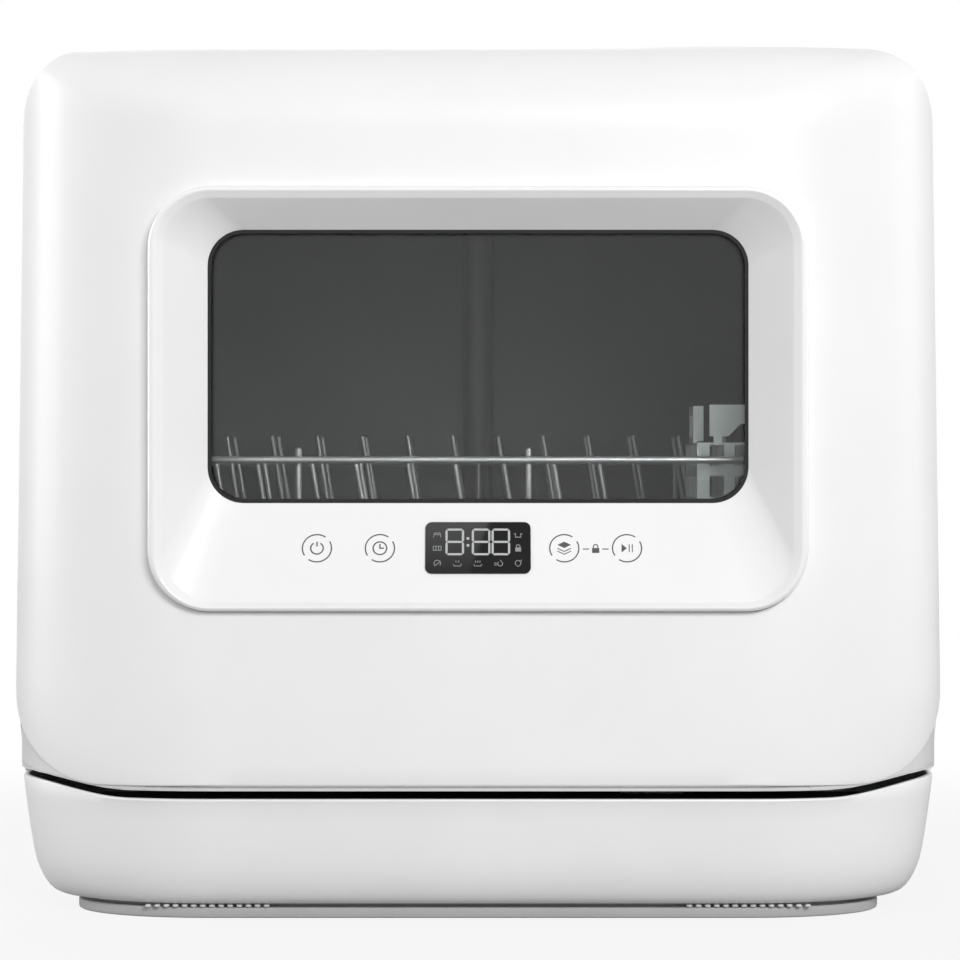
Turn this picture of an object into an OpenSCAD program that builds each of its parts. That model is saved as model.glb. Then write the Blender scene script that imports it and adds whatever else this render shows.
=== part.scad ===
// Countertop dishwasher with a drop-down front door, a window and a sliding rack.
// Millimetres. Origin at the middle of the footprint, +Z up, front towards -Y.

/* [Overall] */
// Width at the widest height
body_w = 440; // [420:2:480]
// Depth, from the window frame's rim to the ends of the rear fittings
body_d = 430; // [420:2:460]
// Height over the flat top
body_h = 404; // [396:2:430]
// Height at which the sides are widest
widest_z = 106; // [100:2:130]
// How much each side leans in from there to the top corners
lean_top = 4; // [1:0.5:7]
// How much each side curves in from there down to the seam
lean_low = 3.5; // [1:0.5:6]
// Corner radius of the top, seen from the front
top_r = 40; // [30:1:46]
// Thickness of the cabinet's wall
cabinet_wall = 3; // [2:0.5:4]

/* [Base] */
// Height of the base housing's front lip
base_top = 57; // [55:0.5:59]
// Rise of the seam towards its two ends
seam_rise = 6; // [2:0.5:8]
// Wall of the base housing
base_wall = 3; // [2:0.5:4]
// Height of the recessed plinth
plinth_h = 9; // [8:0.5:11]
// Inset of the plinth from the widest side
plinth_in = 31; // [24:1:40]
// Number of vent slots in each row
vent_count = 14; // [6:1:16]
// Distance between vent slots
vent_pitch = 4.2; // [4:0.1:5]

/* [Door] */
// Open gap between base and door
seam_gap = 3.6; // [3:0.1:5]
// Depth of the door, from the window frame's rim to the parting plane
door_t = 80; // [76:1:86]
// Height of the window frame's rim over the face
rim_proud = 6; // [4:0.5:8]
// Width of the face's round sides, seen from above
corner_w = 95; // [80:1:100]
// Radius of the face's lower corners
low_corner_r = 46; // [36:1:56]
// Thickness of the door's face
face_wall = 3; // [2.5:0.5:3.5]
// Space between the door's parting plane and the cabinet
parting_gap = 2.5; // [2.5:0.1:4]

/* [Window] */
// Half width of the window frame
rim_half = 149.6; // [140:0.2:156]
// Lower edge of the window frame
rim_low = 142.6; // [138:0.2:150]
// Distance of the window frame's upper edge below the flat top
rim_drop = 68.8; // [59:0.2:79]
// Corner radius of the window frame
rim_r = 28; // [20:1:34]
// Half width of the clear glass
glass_half = 124; // [112:1:127]
// Lower edge of the clear glass
glass_low = 191.5; // [186:0.5:200]
// Distance of the clear glass's upper edge below the window frame's
glass_drop = 18.4; // [16:0.2:30]
// Corner radius of the clear glass
glass_r = 16.5; // [10:0.5:20]
// Depth of the glass behind the rim
glass_deep = 22; // [18:0.5:24]
// Thickness of the outer glass
glass_t = 3.5; // [3:0.5:4]

/* [Hinge] */
// Distance of the hinge axis above the door's lower edge
hinge_up = 13.4; // [12.5:0.1:15]
// Distance of the hinge axis behind the face
hinge_back = 13; // [13:0.5:15]
// Radius of the hinge pins
hinge_pin_r = 2.5; // [2:0.25:2.5]
// Distance of each hinge from the widest side
hinge_in = 80; // [79:1:100]

/* [Tub] */
// Space between the body's widest side and the washing space
tub_gap = 34; // [32:1:40]
// Height of the tub's floor
tub_floor = 100; // [99:0.5:104]
// Distance of the tub's ceiling below the flat top
tub_drop = 34; // [32:1:40]
// Distance of the washing space from the cabinet's back
tub_short = 60; // [59:1:67]
// Corner radius of the tub
tub_r = 26; // [18:1:32]
// Wall of the tub
tub_wall = 2.5; // [2:0.5:3]

/* [Spray arms] */
// Place of the arms' axis, front to back
arm_y = 12; // [0:1:16]
// Reach of the lower arm
low_arm_reach = 110; // [90:1:112]
// Height of the lower arm's underside
low_arm_z = 116; // [114:0.5:118]
// Reach of the upper arm
high_arm_reach = 104; // [80:1:110]
// Radius of the arms' bearing pins
arm_pin_r = 6; // [5:0.5:7]

/* [Rack] */
// Space between the rack's rail and the tub's wall
rack_gap = 18; // [16:1:26]
// Height of the rack's lowest wires
rack_low = 150; // [150:0.5:153]
// Height of the rack's rail
rail_z = 211.6; // [200:0.2:216]
// Distance of the rack's front behind the window frame's rim
rack_in = 65; // [63:1:69]
// Distance of the rack's back from the tub's back
rack_short = 27; // [25:1:37]
// Wire radius of rails and posts
rail_wire_r = 1.75; // [1.5:0.05:2]
// Wire radius of grid and tines
wire_r = 1.4; // [1.2:0.05:1.6]
// Distance between tines along a row
tine_pitch = 24; // [20:1:28]
// Lean of the tines, as a share of their height
tine_lean = 0.16; // [0.04:0.01:0.2]

/* [Tank] */
// Space between the washing space and the water tank
tank_gap = 6; // [5.5:0.5:9]
// Depth of the water tank
tank_t = 38; // [30:1:39]
// Underside of the water tank
tank_low = 112; // [110:1:130]

/* [Hidden] */
front_y = -body_d / 2;
back_y = body_d / 2;
shell_back = back_y - 8;
face_y = front_y + rim_proud;
part_y = front_y + door_t;
frame_y = part_y + parting_gap;
curve_d = door_t - rim_proud - 1;
door_low = base_top + seam_gap;
face_low = door_low + 2;
hinge_x = body_w / 2 - hinge_in;
hinge_z = door_low + hinge_up;
hinge_y = face_y + hinge_back;
glass_y = front_y + glass_deep;
fit = 0.3;
run = 0.05;
rim_high = body_h - rim_drop;
glass_high = rim_high - glass_drop;
panel_y = shell_back - 12;
panel_t = 3;
tub_half = body_w / 2 - tub_gap;
tub_top = body_h - tub_drop;
tub_back = shell_back - tub_short;
dish_low = tub_floor + 13;
dish_high = tub_top - 4;
liner_t = 3;
dish_y = front_y + 34;
wire_fn = 16;
latch_z = body_h - 20;
post_x = body_w / 2 - 28;
post_w = 14;
screw_x = post_x + 8;
screw_z = body_h - 16;
tank_front = tub_back + tank_gap;
lid_half = 42;
lid_front = tank_front - 1;
lid_back = lid_front + 34;
lid_axis_y = lid_back - 1.8;
lid_axis_z = body_h - 2;
lid_ear = 30;
collar_half = 28;
collar_front = lid_front + 6;
collar_back = lid_back - 4;
tank_top = tub_top - 2;
tank_hose_x = tub_half - 36;
inlet_x = tub_half - 56;
inlet_body_r = 15;
drain_x = tub_half - 102;
drain_r = 9;
cord_x = 36 - tub_half;
gland_r = 9;
cord_r = 3.6;
fitting_z = 88;
sump_x = 72;
sump_r = 46;
sump_low = 68;
cup_r = 26;
hub_r = 17;
riser_r = 8;
pump_x = 148 - body_w / 2;
pump_z = 44;
pump_r = 32;
high_arm_z = tub_top - 28;
rail_low = rack_low + 2;
glide_h = 9;
panel_z = 171;
vent_start = body_w / 2 - 68;
display_w = 48;
display_h = 25;
key_x = [-73, -44, 40, 68];
cup_half = 35;
cup_low = 116;
cup_h = 22;
liner_screw_places = [
    for (x = [-1, 1], k = [0.09, 0.395, 0.7]) [x * screw_x, door_low + k * (screw_z - door_low)],
    [-80, screw_z], [80, screw_z]];
stub_z = 80;
rack_half = tub_half - rack_gap;
rack_front = front_y + rack_in;
rack_back = tub_back - rack_short;
front_posts = [18 - rack_half, -85, 24, rack_half - 35];
tine_rows = [[rack_front + 40, 18 - rack_half, rack_half - 82, 2 * tine_pitch, 56],
    [rack_front + 87, 18 - rack_half, rack_half - 82, tine_pitch, 60],
    [rack_back - 90, 18 - rack_half, rack_half - 18, tine_pitch, 72],
    [rack_back - 42, 18 - rack_half, rack_half - 18, tine_pitch, 72]];
basket_x = rack_half - 64;
basket_y = rack_front + 8;
basket_w = 54;
basket_d = 80;
basket_low = rack_low + 4 * wire_r + fit;
basket_h = 64;
grip_h = 18;

// ---- Shapes that several pieces share ----

// Half of the body's width at height z.
function half_w(z) = z > widest_z
    ? body_w / 2 - lean_top * (z - widest_z) / (body_h - widest_z)
    : body_w / 2 - lean_low * pow((widest_z - z) / (widest_z - door_low), 2);

// How far the front falls back at x, for a body of the given half width.
function plan_drop(x, half, deep) =
    let (u = (abs(x) - half + corner_w) / corner_w)
    u <= 0 ? 0 : deep * (1 - sqrt(max(0, 1 - u * u)));

// A rounded rectangle in the XZ plane, as [x, z] points against the clock.
function round_rect(half, low, high, r, n = 6) = [
    for (c = [0:3], i = [0:n])
        let (a = 90 * (c + i / n) - 90)
        let (cx = c == 0 || c == 3 ? (half - r) * (c == 0 ? 1 : -1) : (half - r) * (c == 1 ? 1 : -1))
        let (cz = c == 0 || c == 3 ? low + r : high - r)
        [cx + r * cos(a), cz + r * sin(a)]
];

// The same outline as a ring of 3D points at depth y.
function rect_ring(half, low, high, r, y, n = 6) =
    [for (p = round_rect(half, low, high, r, n)) [p[0], y, p[1]]];

// Triangles that join rings of m points; a closed set of rings makes a shell with a hole.
function ring_faces(rings, m, closed) = [
    for (i = [0:rings - (closed ? 1 : 2)], j = [0:m - 1], k = [0, 1])
        let (a = i * m + j)
        let (b = i * m + (j + 1) % m)
        let (c = ((i + 1) % rings) * m + (j + 1) % m)
        let (d = ((i + 1) % rings) * m + j)
        k == 0 ? [a, b, c] : [a, c, d]
];

// A plate that stands upright: an XZ outline, from y to y + t.
module upright(y, t) {
    translate([0, y + t, 0])
        rotate([90, 0, 0])
            linear_extrude(t)
                children();
}

// A solid block from its lowest to its highest corner.
module block(low, high) {
    translate(low)
        cube(high - low);
}

// A straight round bar between two points.
module bar(p, q, r, fn = wire_fn) {
    d = q - p;
    l = norm(d);
    translate(p)
        rotate([0, acos(d[2] / l), atan2(d[1], d[0])])
            cylinder(r = r, h = l, $fn = fn);
}

// Copies its children at +X and, mirrored, at -X.
module both_sides() {
    children();
    mirror([1, 0, 0])
        children();
}

// ---- Base ----

// Plan outline of the base and of the body below the seam, grown or shrunk by inset.
function plan_half(half, inset, front) = concat(
    [for (f = [0, 0.5]) [f * (half - corner_w), front + inset]],
    [for (i = [0:10])
        let (a = 9 * i)
        let (x = half - corner_w + (corner_w - inset) * sin(a))
        [x, front + inset + (curve_d - inset) * (1 - cos(a))]],
    [for (i = [0:4])
        let (a = 22.5 * i)
        [half - inset - 8 * (1 - cos(a)), shell_back - inset - 8 * (1 - sin(a))]]
);
function plan_ring(half, inset, front, z) =
    let (h = plan_half(half, inset, front), n = len(h))
    concat(
        [for (p = h) [p[0], p[1], z]],
        [for (i = [n - 1:-1:1]) [-h[i][0], h[i][1], z]]
    );

// How much the seam has risen at x.
function rise(x) =
    let (s = min(1, max(0, (abs(x) - body_w / 2 + 60) / 52)))
    seam_rise * s * s * (3 - 2 * s);

// The part above a curve that follows the seam, as an XZ outline.
module above_seam(z, far = 120) {
    polygon(concat(
        [for (i = [-24:24]) let (x = i * (body_w + 16) / 48) [x, z + rise(x)]],
        [[body_w / 2 + 8, z + far], [-body_w / 2 - 8, z + far]]
    ));
}

module base_housing() {
    high = base_top + seam_rise;
    levels = [[plinth_h, 20], [plinth_h + 0.8, 16.6], [plinth_h + 3, 12.8], [plinth_h + 7, 9.6],
        [23, 7.4], [37, 5], [high, 1.6]];
    half = half_w(door_low) + 1.6;
    front = face_y + 0.4;
    inner = [[high, 1.6 + base_wall], [37, 5 + base_wall], [plinth_h + base_wall, 12 + base_wall]];
    rings = concat([for (l = levels) plan_ring(half, l[1], front, l[0])],
        [for (l = inner) plan_ring(half, l[1], front, l[0])]);
    m = len(rings[0]);
    n = len(rings);
    points = [for (r = rings, p = r) p];
    faces = concat(
        [for (f = ring_faces(n, m, false)) [f[2], f[1], f[0]]],
        [[for (j = [0:m - 1]) j]],
        [[for (j = [m - 1:-1:0]) (n - 1) * m + j]]
    );
    color("white")
        difference() {
            polyhedron(points, faces, convexity = 6);
            upright(front - 10, part_y - front)
                above_seam(base_top);
        }
}

module plinth() {
    edge = plinth_edge(0);
    front = edge[0][1];
    color("gainsboro")
        difference() {
            translate([0, 0, 1])
                linear_extrude(plinth_h - 1)
                    polygon(plinth_edge(0));
            both_sides()
                for (i = [0:vent_count - 1])
                    translate([vent_start - i * vent_pitch, front + 12, plinth_h - 3.4])
                        rotate([90, 0, 0])
                            cylinder(r = 1.2, h = 18, $fn = 16);
            translate([0, 0, -1])
                linear_extrude(plinth_h - 1.5)
                    polygon(plinth_edge(3));
        }
}

// Plan outline of the plinth, shrunk by inset; it follows the base's round corners.
function plinth_edge(inset) =
    let (h = plan_half(body_w / 2, plinth_in + inset, front_y - 4), n = len(h))
    concat(h, [for (i = [n - 1:-1:1]) [-h[i][0], h[i][1]]]);

module rubber_feet() {
    color("dimgray")
        both_sides()
            for (y = [-body_d / 2 + 62, body_d / 2 - 54])
                translate([body_w / 2 - plinth_in - 34, y, 0]) {
                    cylinder(r = 12, h = 3, $fn = 48);
                    cylinder(r = 9, h = plinth_h - 2.5, $fn = 48);
                }
}

// The dark strip that lines the groove between base and door.
module seam_strip() {
    low = base_top - 4;
    high = base_top + seam_rise;
    inset = base_wall + 1.6 + 3.4 * (high - low) / (high - 37);
    edge = [for (p = plan_half(half_w(door_low) + 1.6, inset, face_y + 0.4)) if (p[1] < part_y - 12) p];
    n = len(edge);
    color("black")
        difference() {
            translate([0, 0, low])
                linear_extrude(2.5)
                    polygon(concat(edge, [for (i = [n - 1:-1:1]) [-edge[i][0], edge[i][1]]]));
            block([-hinge_x + 12, hinge_y + 30, low - 1], [hinge_x - 12, part_y, low + 4]);
        }
}

// ---- Cabinet ----

// One closed section of the cabinet's arch: outside, then back along the inside.
function arch_side(inset, low) =
    let (r = top_r - inset, top = body_h - inset)
    concat(
        [for (z = [low, low + 22, widest_z, 200, 290]) [half_w(z) - inset, z]],
        [for (i = [0:9])
            let (a = 10 * i)
            [half_w(body_h - top_r) - inset - r + r * cos(a), top - r + r * sin(a)]]
    );
function arch_ring(y, outer, inner, low) =
    let (o = arch_side(outer, low), i = arch_side(inner, low), n = len(o))
    [for (p = concat(
        o,
        [for (k = [n - 1:-1:0]) [-o[k][0], o[k][1]]],
        i_flip(i),
        [for (k = [n - 1:-1:0]) i[k]])) [p[0], y, p[1]]];
function i_flip(side) = [for (p = side) [-p[0], p[1]]];

module cabinet_shell() {
    low = base_top + seam_rise;
    w = cabinet_wall;
    stations = [[frame_y, 0, w], [shell_back - 8, 0, w], [shell_back - 4, 1, w + 1],
        [shell_back - 1, 3.4, w + 3.4], [shell_back, 6, w + 6]];
    rings = [for (s = stations) arch_ring(s[0], s[1], s[2], low)];
    m = len(rings[0]);
    n = len(rings);
    ends = [for (k = [0:m / 2 - 2], t = [0, 1])
        t == 0 ? [k, m - 1 - k, m - 2 - k] : [k, m - 2 - k, k + 1]];
    slot = [for (x = [-1, 1]) x * (lid_half + fit)];
    color("white")
        difference() {
            polyhedron([for (r = rings, p = r) p], concat(
                ring_faces(n, m, false),
                ends,
                [for (f = ends) (n - 1) * m * [1, 1, 1] + [f[2], f[1], f[0]]]), convexity = 8);
            block([slot[0], lid_front - fit, body_h - 20], [slot[1], lid_back + 1, body_h + 1]);
        }
}

// The plate round the tub's mouth, with the slots for the hinges and for the latch.
module front_frame() {
    half = half_w(body_h - top_r) - cabinet_wall - fit;
    color("whitesmoke")
        upright(frame_y, tub_wall)
            difference() {
                polygon(round_rect(half, base_top + seam_rise, body_h - cabinet_wall,
                    top_r - cabinet_wall));
                polygon(round_rect(tub_half, tub_floor, tub_top, tub_r, 8));
                translate([-9, latch_z - 7])
                    square([18, 17]);
                both_sides()
                    translate([hinge_x - 3.5, hinge_z - 7])
                        square([7, 14]);
            }
}

module rear_panel() {
    half = half_w(body_h - top_r) - cabinet_wall - fit;
    color("whitesmoke")
        upright(panel_y, panel_t)
            difference() {
                polygon(round_rect(half, base_top + seam_rise, body_h - cabinet_wall,
                    top_r - cabinet_wall));
                for (f = [[inlet_x, inlet_body_r], [drain_x, drain_r + 3], [cord_x, gland_r]])
                    translate([f[0], fitting_z])
                        circle(r = f[1], $fn = 48);
                for (i = [-6:6], k = [0:3])
                    translate([i * 22 - 8, tub_top - 120 + k * 22])
                        square([16, 4]);
            }
}

// ---- Tub ----

module tub() {
    w = tub_wall;
    low = tub_floor - w;
    color("lightgray")
        difference() {
            union() {
                upright(frame_y + tub_wall, tub_back + w - frame_y - tub_wall)
                    difference() {
                        polygon(round_rect(tub_half + w, low, tub_top + w, tub_r + w, 8));
                        polygon(round_rect(tub_half, tub_floor, tub_top, tub_r, 8));
                    }
                upright(tub_back, w)
                    polygon(round_rect(tub_half + w, low, tub_top + w, tub_r + w, 8));
            }
            translate([sump_x, arm_y, low - 1])
                cylinder(r = sump_r, h = w + 2, $fn = 64);
            translate([0, arm_y, low - 1])
                cylinder(r = hub_r - 4, h = w + 2, $fn = 64);
            translate([0, tub_back - 12, low - 1])
                cylinder(r = riser_r, h = w + 2, $fn = 48);
        }
}

// Rubber seal in front of the tub's mouth; the door's liner closes on it.
module tub_seal() {
    color("slategray")
        upright(part_y + fit, parting_gap - fit)
            difference() {
                polygon(round_rect(tub_half + 9, tub_floor - 9, tub_top + 7, tub_r + 8, 8));
                polygon(round_rect(tub_half + 2, tub_floor - 2, tub_top + 1, tub_r + 2, 8));
            }
}

module sump() {
    top = tub_floor;
    color("dimgray")
        translate([sump_x, arm_y, 0])
            difference() {
                union() {
                    translate([0, 0, sump_low])
                        cylinder(r1 = 32, r2 = sump_r - 0.2, h = top - sump_low - 1.5, $fn = 64);
                    translate([0, 0, sump_low - 9])
                        cylinder(r = 16, h = 12, $fn = 48);
                    translate([0, 0, tub_floor - tub_wall - 2])
                        cylinder(r = sump_r + 5, h = 2, $fn = 64);
                    bar([28, 0, stub_z], [46, 0, stub_z], 7, 32);
                    bar([0, -28, stub_z], [0, -46, stub_z], 7, 32);
                }
                translate([0, 0, sump_low + 2.5])
                    cylinder(r1 = 30, r2 = sump_r - 2.5, h = top - sump_low, $fn = 64);
                translate([0, 0, sump_low - 6])
                    cylinder(r = 13, h = 12, $fn = 48);
            }
}

// Stainless strainer over the sump, pierced by rings of round holes.
module filter_plate() {
    color("silver")
        translate([sump_x, arm_y, tub_floor - 1.5])
            difference() {
                cylinder(r = sump_r - 0.2, h = 1.5, $fn = 64);
                translate([0, 0, -1])
                    cylinder(r = cup_r + fit, h = 4, $fn = 64);
                for (i = [0:23])
                    rotate(15 * i)
                        translate([(sump_r + cup_r) / 2, 0, -1])
                            cylinder(r = 2.2, h = 4, $fn = 16);
            }
}

// The filter: a slotted cup with a cross grip; a quarter turn frees it.
module filter_cup() {
    low = sump_low + 4;
    color("lightsteelblue")
        translate([sump_x, arm_y, 0])
            difference() {
                union() {
                    translate([0, 0, low])
                        cylinder(r = cup_r, h = tub_floor + 4 - low, $fn = 64);
                    translate([-cup_r + 1, -2, tub_floor + 3])
                        cube([2 * cup_r - 2, 4, 5]);
                }
                difference() {
                    translate([0, 0, low + 2])
                        cylinder(r = cup_r - 2, h = 60, $fn = 64);
                    translate([-cup_r, -2, tub_floor])
                        cube([2 * cup_r, 4, 10]);
                }
                for (i = [0:7])
                    rotate(22.5 * i + 11)
                        translate([-cup_r - 1, -1.5, low + 6])
                            cube([2 * cup_r + 2, 3, tub_floor - low - 12]);
            }
}

// ---- Spray arms and water path ----

// A two-bladed arm about the Z axis: blades taper to round tips, nozzles on one side.
module spray_blades(reach, root, tip, h, up) {
    difference() {
        union() {
            linear_extrude(h)
                polygon([
                    for (s = [1, -1])
                        for (p = concat(
                            [[root * 0.35, -root / 2]],
                            [for (a = [-90:15:90]) [reach - tip / 2 + tip / 2 * cos(a), tip / 2 * sin(a)]],
                            [[root * 0.35, root / 2]]))
                            s * p
                ]);
            translate([0, 0, up ? 0 : -3])
                cylinder(r = arm_pin_r + 7, h = h + 3, $fn = 48);
            for (s = [1, -1], i = [1:4])
                translate([s * (reach * (0.14 + 0.2 * i)), s * 3, up ? h - 1 : -1.2])
                    cylinder(r = 2.4, h = 2.2, $fn = 16);
        }
        translate([0, 0, -5])
            cylinder(r = arm_pin_r + run, h = h + 12, $fn = 48);
    }
}

module lower_arm_hub() {
    z = low_arm_z;
    color("gray")
        translate([0, arm_y, 0]) {
            translate([0, 0, tub_floor])
                cylinder(r = hub_r, h = 6, $fn = 48);
            translate([0, 0, tub_floor + 5])
                cylinder(r = arm_pin_r + 4, h = z - fit - tub_floor - 5, $fn = 48);
            translate([0, 0, z - 2])
                cylinder(r = arm_pin_r, h = 16, $fn = 48);
            translate([0, 0, z + 12 + fit])
                cylinder(r = arm_pin_r + 4, h = 3, $fn = 48);
        }
}

module lower_spray_arm() {
    color("dimgray")
        translate([0, arm_y, low_arm_z])
            spray_blades(low_arm_reach, 34, 20, 9, true);
}

module upper_arm_hub() {
    z = high_arm_z;
    color("gray")
        translate([0, arm_y, 0]) {
            translate([0, 0, z + 8 + fit])
                cylinder(r = arm_pin_r + 4, h = tub_top - z - 8 - fit, $fn = 48);
            translate([0, 0, z - 5])
                cylinder(r = arm_pin_r, h = 16, $fn = 48);
            translate([0, 0, z - 6 - fit])
                cylinder(r = arm_pin_r + 4, h = 3, $fn = 48);
            bar([0, 0, tub_top - riser_r], [0, arm_pin_r + 8, tub_top - riser_r], riser_r - 0.5, 32);
        }
}

module upper_spray_arm() {
    color("dimgray")
        translate([0, arm_y, high_arm_z])
            spray_blades(high_arm_reach, 30, 18, 8, false);
}

// The pipe inside the tub that feeds the upper arm: up the back wall, then forward.
module riser_pipe() {
    y = tub_back - 12;
    z = tub_top - riser_r;
    color("gray") {
        translate([0, y, tub_floor - tub_wall])
            cylinder(r = riser_r - 0.2, h = z - tub_floor + tub_wall, $fn = 32);
        translate([0, y, z])
            sphere(r = riser_r - 0.2, $fn = 32);
        bar([0, y, z], [0, arm_y + arm_pin_r + 8, z], riser_r - 1.5, 32);
        block([-riser_r, y, z - 40], [riser_r, tub_back, z - 30]);
    }
}

module supply_pipe() {
    z = tub_floor - 18;
    top = tub_floor - tub_wall;
    y = tub_back - 12;
    color("dimgray") {
        bar([pump_x, arm_y, pump_z + pump_r - 2], [pump_x, arm_y, z], 7, 32);
        translate([pump_x, arm_y, z])
            sphere(r = 7, $fn = 32);
        bar([pump_x, arm_y, z], [0, arm_y, z], 7, 32);
        translate([0, arm_y, z])
            sphere(r = 7, $fn = 32);
        bar([0, arm_y, z], [0, arm_y, tub_floor], 7, 32);
        bar([0, arm_y, z], [0, y, z], 6, 32);
        translate([0, y, z])
            sphere(r = 6, $fn = 32);
        bar([0, y, z], [0, y, top], 6, 32);
    }
}

// Wash pump: volute, motor can and the suction pipe from the sump.
module wash_pump() {
    color("darkslategray") {
        bar([pump_x - 11, arm_y, pump_z], [pump_x + 11, arm_y, pump_z], pump_r - 2, 48);
        bar([pump_x - 76, arm_y, pump_z], [pump_x - 10, arm_y, pump_z], pump_r - 7, 48);
        bar([pump_x + 8, arm_y, pump_z], [sump_x, arm_y, pump_z], 7, 32);
        translate([sump_x, arm_y, pump_z])
            sphere(r = 7, $fn = 32);
        bar([sump_x, arm_y, pump_z], [sump_x, arm_y, sump_low - 9], 7, 32);
        bar([pump_x, arm_y + 20, pump_z], [pump_x, arm_y + pump_r + 4, pump_z], 8, 32);
        block([pump_x - 66, arm_y - 16, plinth_h + base_wall], [pump_x - 20, arm_y + 16, pump_z - 14]);
    }
}

module heater() {
    x = pump_x;
    y = arm_y + pump_r + 8;
    z = pump_z;
    color("silver") {
        bar([x, y, z], [x, y + 74, z], 14, 48);
        for (e = [y - 4, y + 70])
            bar([x, e, z], [x, e + 6, z], 16, 48);
        block([x - 8, y + 20, plinth_h + base_wall], [x + 8, y + 50, z - 10]);
    }
}

module drain_pump() {
    x = sump_x + 52;
    y = arm_y - 80;
    z = 36;
    color("dimgray") {
        bar([x, y, z], [x, y + 42, z], 20, 48);
        bar([x, y + 40, z], [x, y + 56, z], 15, 48);
        bar([x, y + 21, z + 12], [x, y + 21, stub_z], 6, 32);
        translate([x, y + 21, stub_z])
            sphere(r = 6, $fn = 32);
        bar([x, y + 21, stub_z], [sump_x, y + 21, stub_z], 6, 32);
        translate([sump_x, y + 21, stub_z])
            sphere(r = 6, $fn = 32);
        bar([sump_x, y + 21, stub_z], [sump_x, arm_y - 46, stub_z], 6, 32);
        block([x - 12, y + 6, plinth_h + base_wall], [x + 12, y + 36, z - 15]);
    }
}

// Drain hose inside the base, from the pump back to the outlet behind.
module drain_hose() {
    r = 6;
    x = sump_x + 52;
    y = tub_back - 27;
    points = [[x, arm_y - 24, 36], [x, y, 36], [drain_x, y, 36], [drain_x, y, fitting_z],
        [drain_x, panel_y - 14, fitting_z]];
    color("gray")
        for (i = [0:3]) {
            bar(points[i], points[i + 1], r, 32);
            if (i < 3)
                translate(points[i + 1])
                    sphere(r = r, $fn = 32);
        }
}

module water_tank() {
    top = tank_top;
    w = 2.5;
    color("white", 0.8)
        difference() {
            union() {
                upright(tank_front, tank_t)
                    polygon(round_rect(tub_half + 4, tank_low, top, 16));
                both_sides()
                    for (z = [tank_low + 38, tank_top - 48])
                        block([tub_half - 76, tub_back + tub_wall, z],
                            [tub_half - 56, tank_front + 1, z + 20]);
            }
            upright(tank_front + w, tank_t - 2 * w)
                polygon(round_rect(tub_half + 4 - w, tank_low + w, top - w, 16 - w));
            block([-collar_half, collar_front, top - w - 1], [collar_half, collar_back, top + 1]);
            translate([tank_hose_x, tank_front + tank_t / 2, tank_low - 1])
                cylinder(r = 6, h = w + 2, $fn = 32);
        }
}

module tank_hose() {
    y = tank_front + tank_t / 2;
    points = [[tank_hose_x, y, tank_low + 1], [tank_hose_x, y, stub_z], [tank_hose_x, arm_y, stub_z],
        [sump_x + 46, arm_y, stub_z]];
    color("gray")
        for (i = [0:2]) {
            bar(points[i], points[i + 1], 5.8, 32);
            if (i < 2)
                translate(points[i + 1])
                    sphere(r = 5.8, $fn = 32);
        }
}

// The chute under the fill lid, with the ears that carry the lid's pin.
module fill_collar() {
    low = tank_top;
    high = body_h - 4.2;
    w = 2;
    color("gainsboro")
        difference() {
            union() {
                block([-collar_half - w, collar_front - w, low], [collar_half + w, collar_back + w, high]);
                block([-lid_half - 4, lid_front - 4, high - 2.5], [lid_half + 4, lid_back + 4, high]);
                both_sides() {
                    block([lid_ear, lid_axis_y - 1.8, high - 1],
                        [lid_ear + 3, lid_axis_y + 1.8, lid_axis_z + 1.6]);
                    block([lid_half + 1, lid_front - 4, high - 2.5],
                        [lid_half + 4, lid_back + 4, body_h - cabinet_wall]);
                }
            }
            block([-collar_half, collar_front, low - 1], [collar_half, collar_back, high + 1]);
            bar([-lid_half, lid_axis_y, lid_axis_z], [lid_half, lid_axis_y, lid_axis_z], 1.02, 32);
        }
}

module fill_lid_pin() {
    color("silver")
        bar([-lid_ear - 6, lid_axis_y, lid_axis_z], [lid_ear + 6, lid_axis_y, lid_axis_z], 1, 32);
}

module fill_lid() {
    low = body_h - 3.6;
    color("white")
        difference() {
            union() {
                block([-lid_half, lid_front, low], [lid_half, lid_axis_y, body_h]);
                bar([-lid_half, lid_axis_y, lid_axis_z], [lid_half, lid_axis_y, lid_axis_z], 1.8, 32);
            }
            both_sides()
                block([lid_ear - 0.4, lid_axis_y - 3.2, low - 1], [lid_ear + 3.4, lid_back + 1, body_h + 1]);
            bar([-lid_half - 1, lid_axis_y, lid_axis_z], [lid_half + 1, lid_axis_y, lid_axis_z], 1 + run, 32);
            translate([0, lid_front - 6, low - 1])
                cylinder(r = 11, h = 8, $fn = 48);
        }
}

// Water inlet valve with its threaded nipple behind.
module inlet_valve() {
    p = [inlet_x, panel_y, fitting_z];
    color("whitesmoke")
        difference() {
            union() {
                bar(p - [0, 36, 0], p - [0, 4, 0], 13, 48);
                bar(p - [0, 4, 0], p, inlet_body_r + 4, 48);
                bar(p - [0, 1, 0], p + [0, panel_t + 1, 0], inlet_body_r - 0.2, 48);
                bar(p, [inlet_x, back_y, fitting_z], 13.2, 64);
                bar(p - [0, 22, 0], [inlet_x, panel_y - 22, tank_low], 6, 32);
            }
            bar([inlet_x, back_y - 14, fitting_z], [inlet_x, back_y + 1, fitting_z], 9, 48);
        }
}

module drain_outlet() {
    p = [drain_x, panel_y, fitting_z];
    e = [drain_x, back_y, fitting_z];
    color("dimgray")
        difference() {
            union() {
                bar(p - [0, 14, 0], p, 8.5, 48);
                bar(p - [0, 3, 0], p, drain_r + 7, 48);
                bar(p - [0, 1, 0], p + [0, panel_t + 1, 0], drain_r + 2.8, 48);
                bar(p, e, drain_r, 48);
            }
            bar(p - [0, 12, 0], e + [0, 1, 0], drain_r - 3, 48);
        }
}

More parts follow.
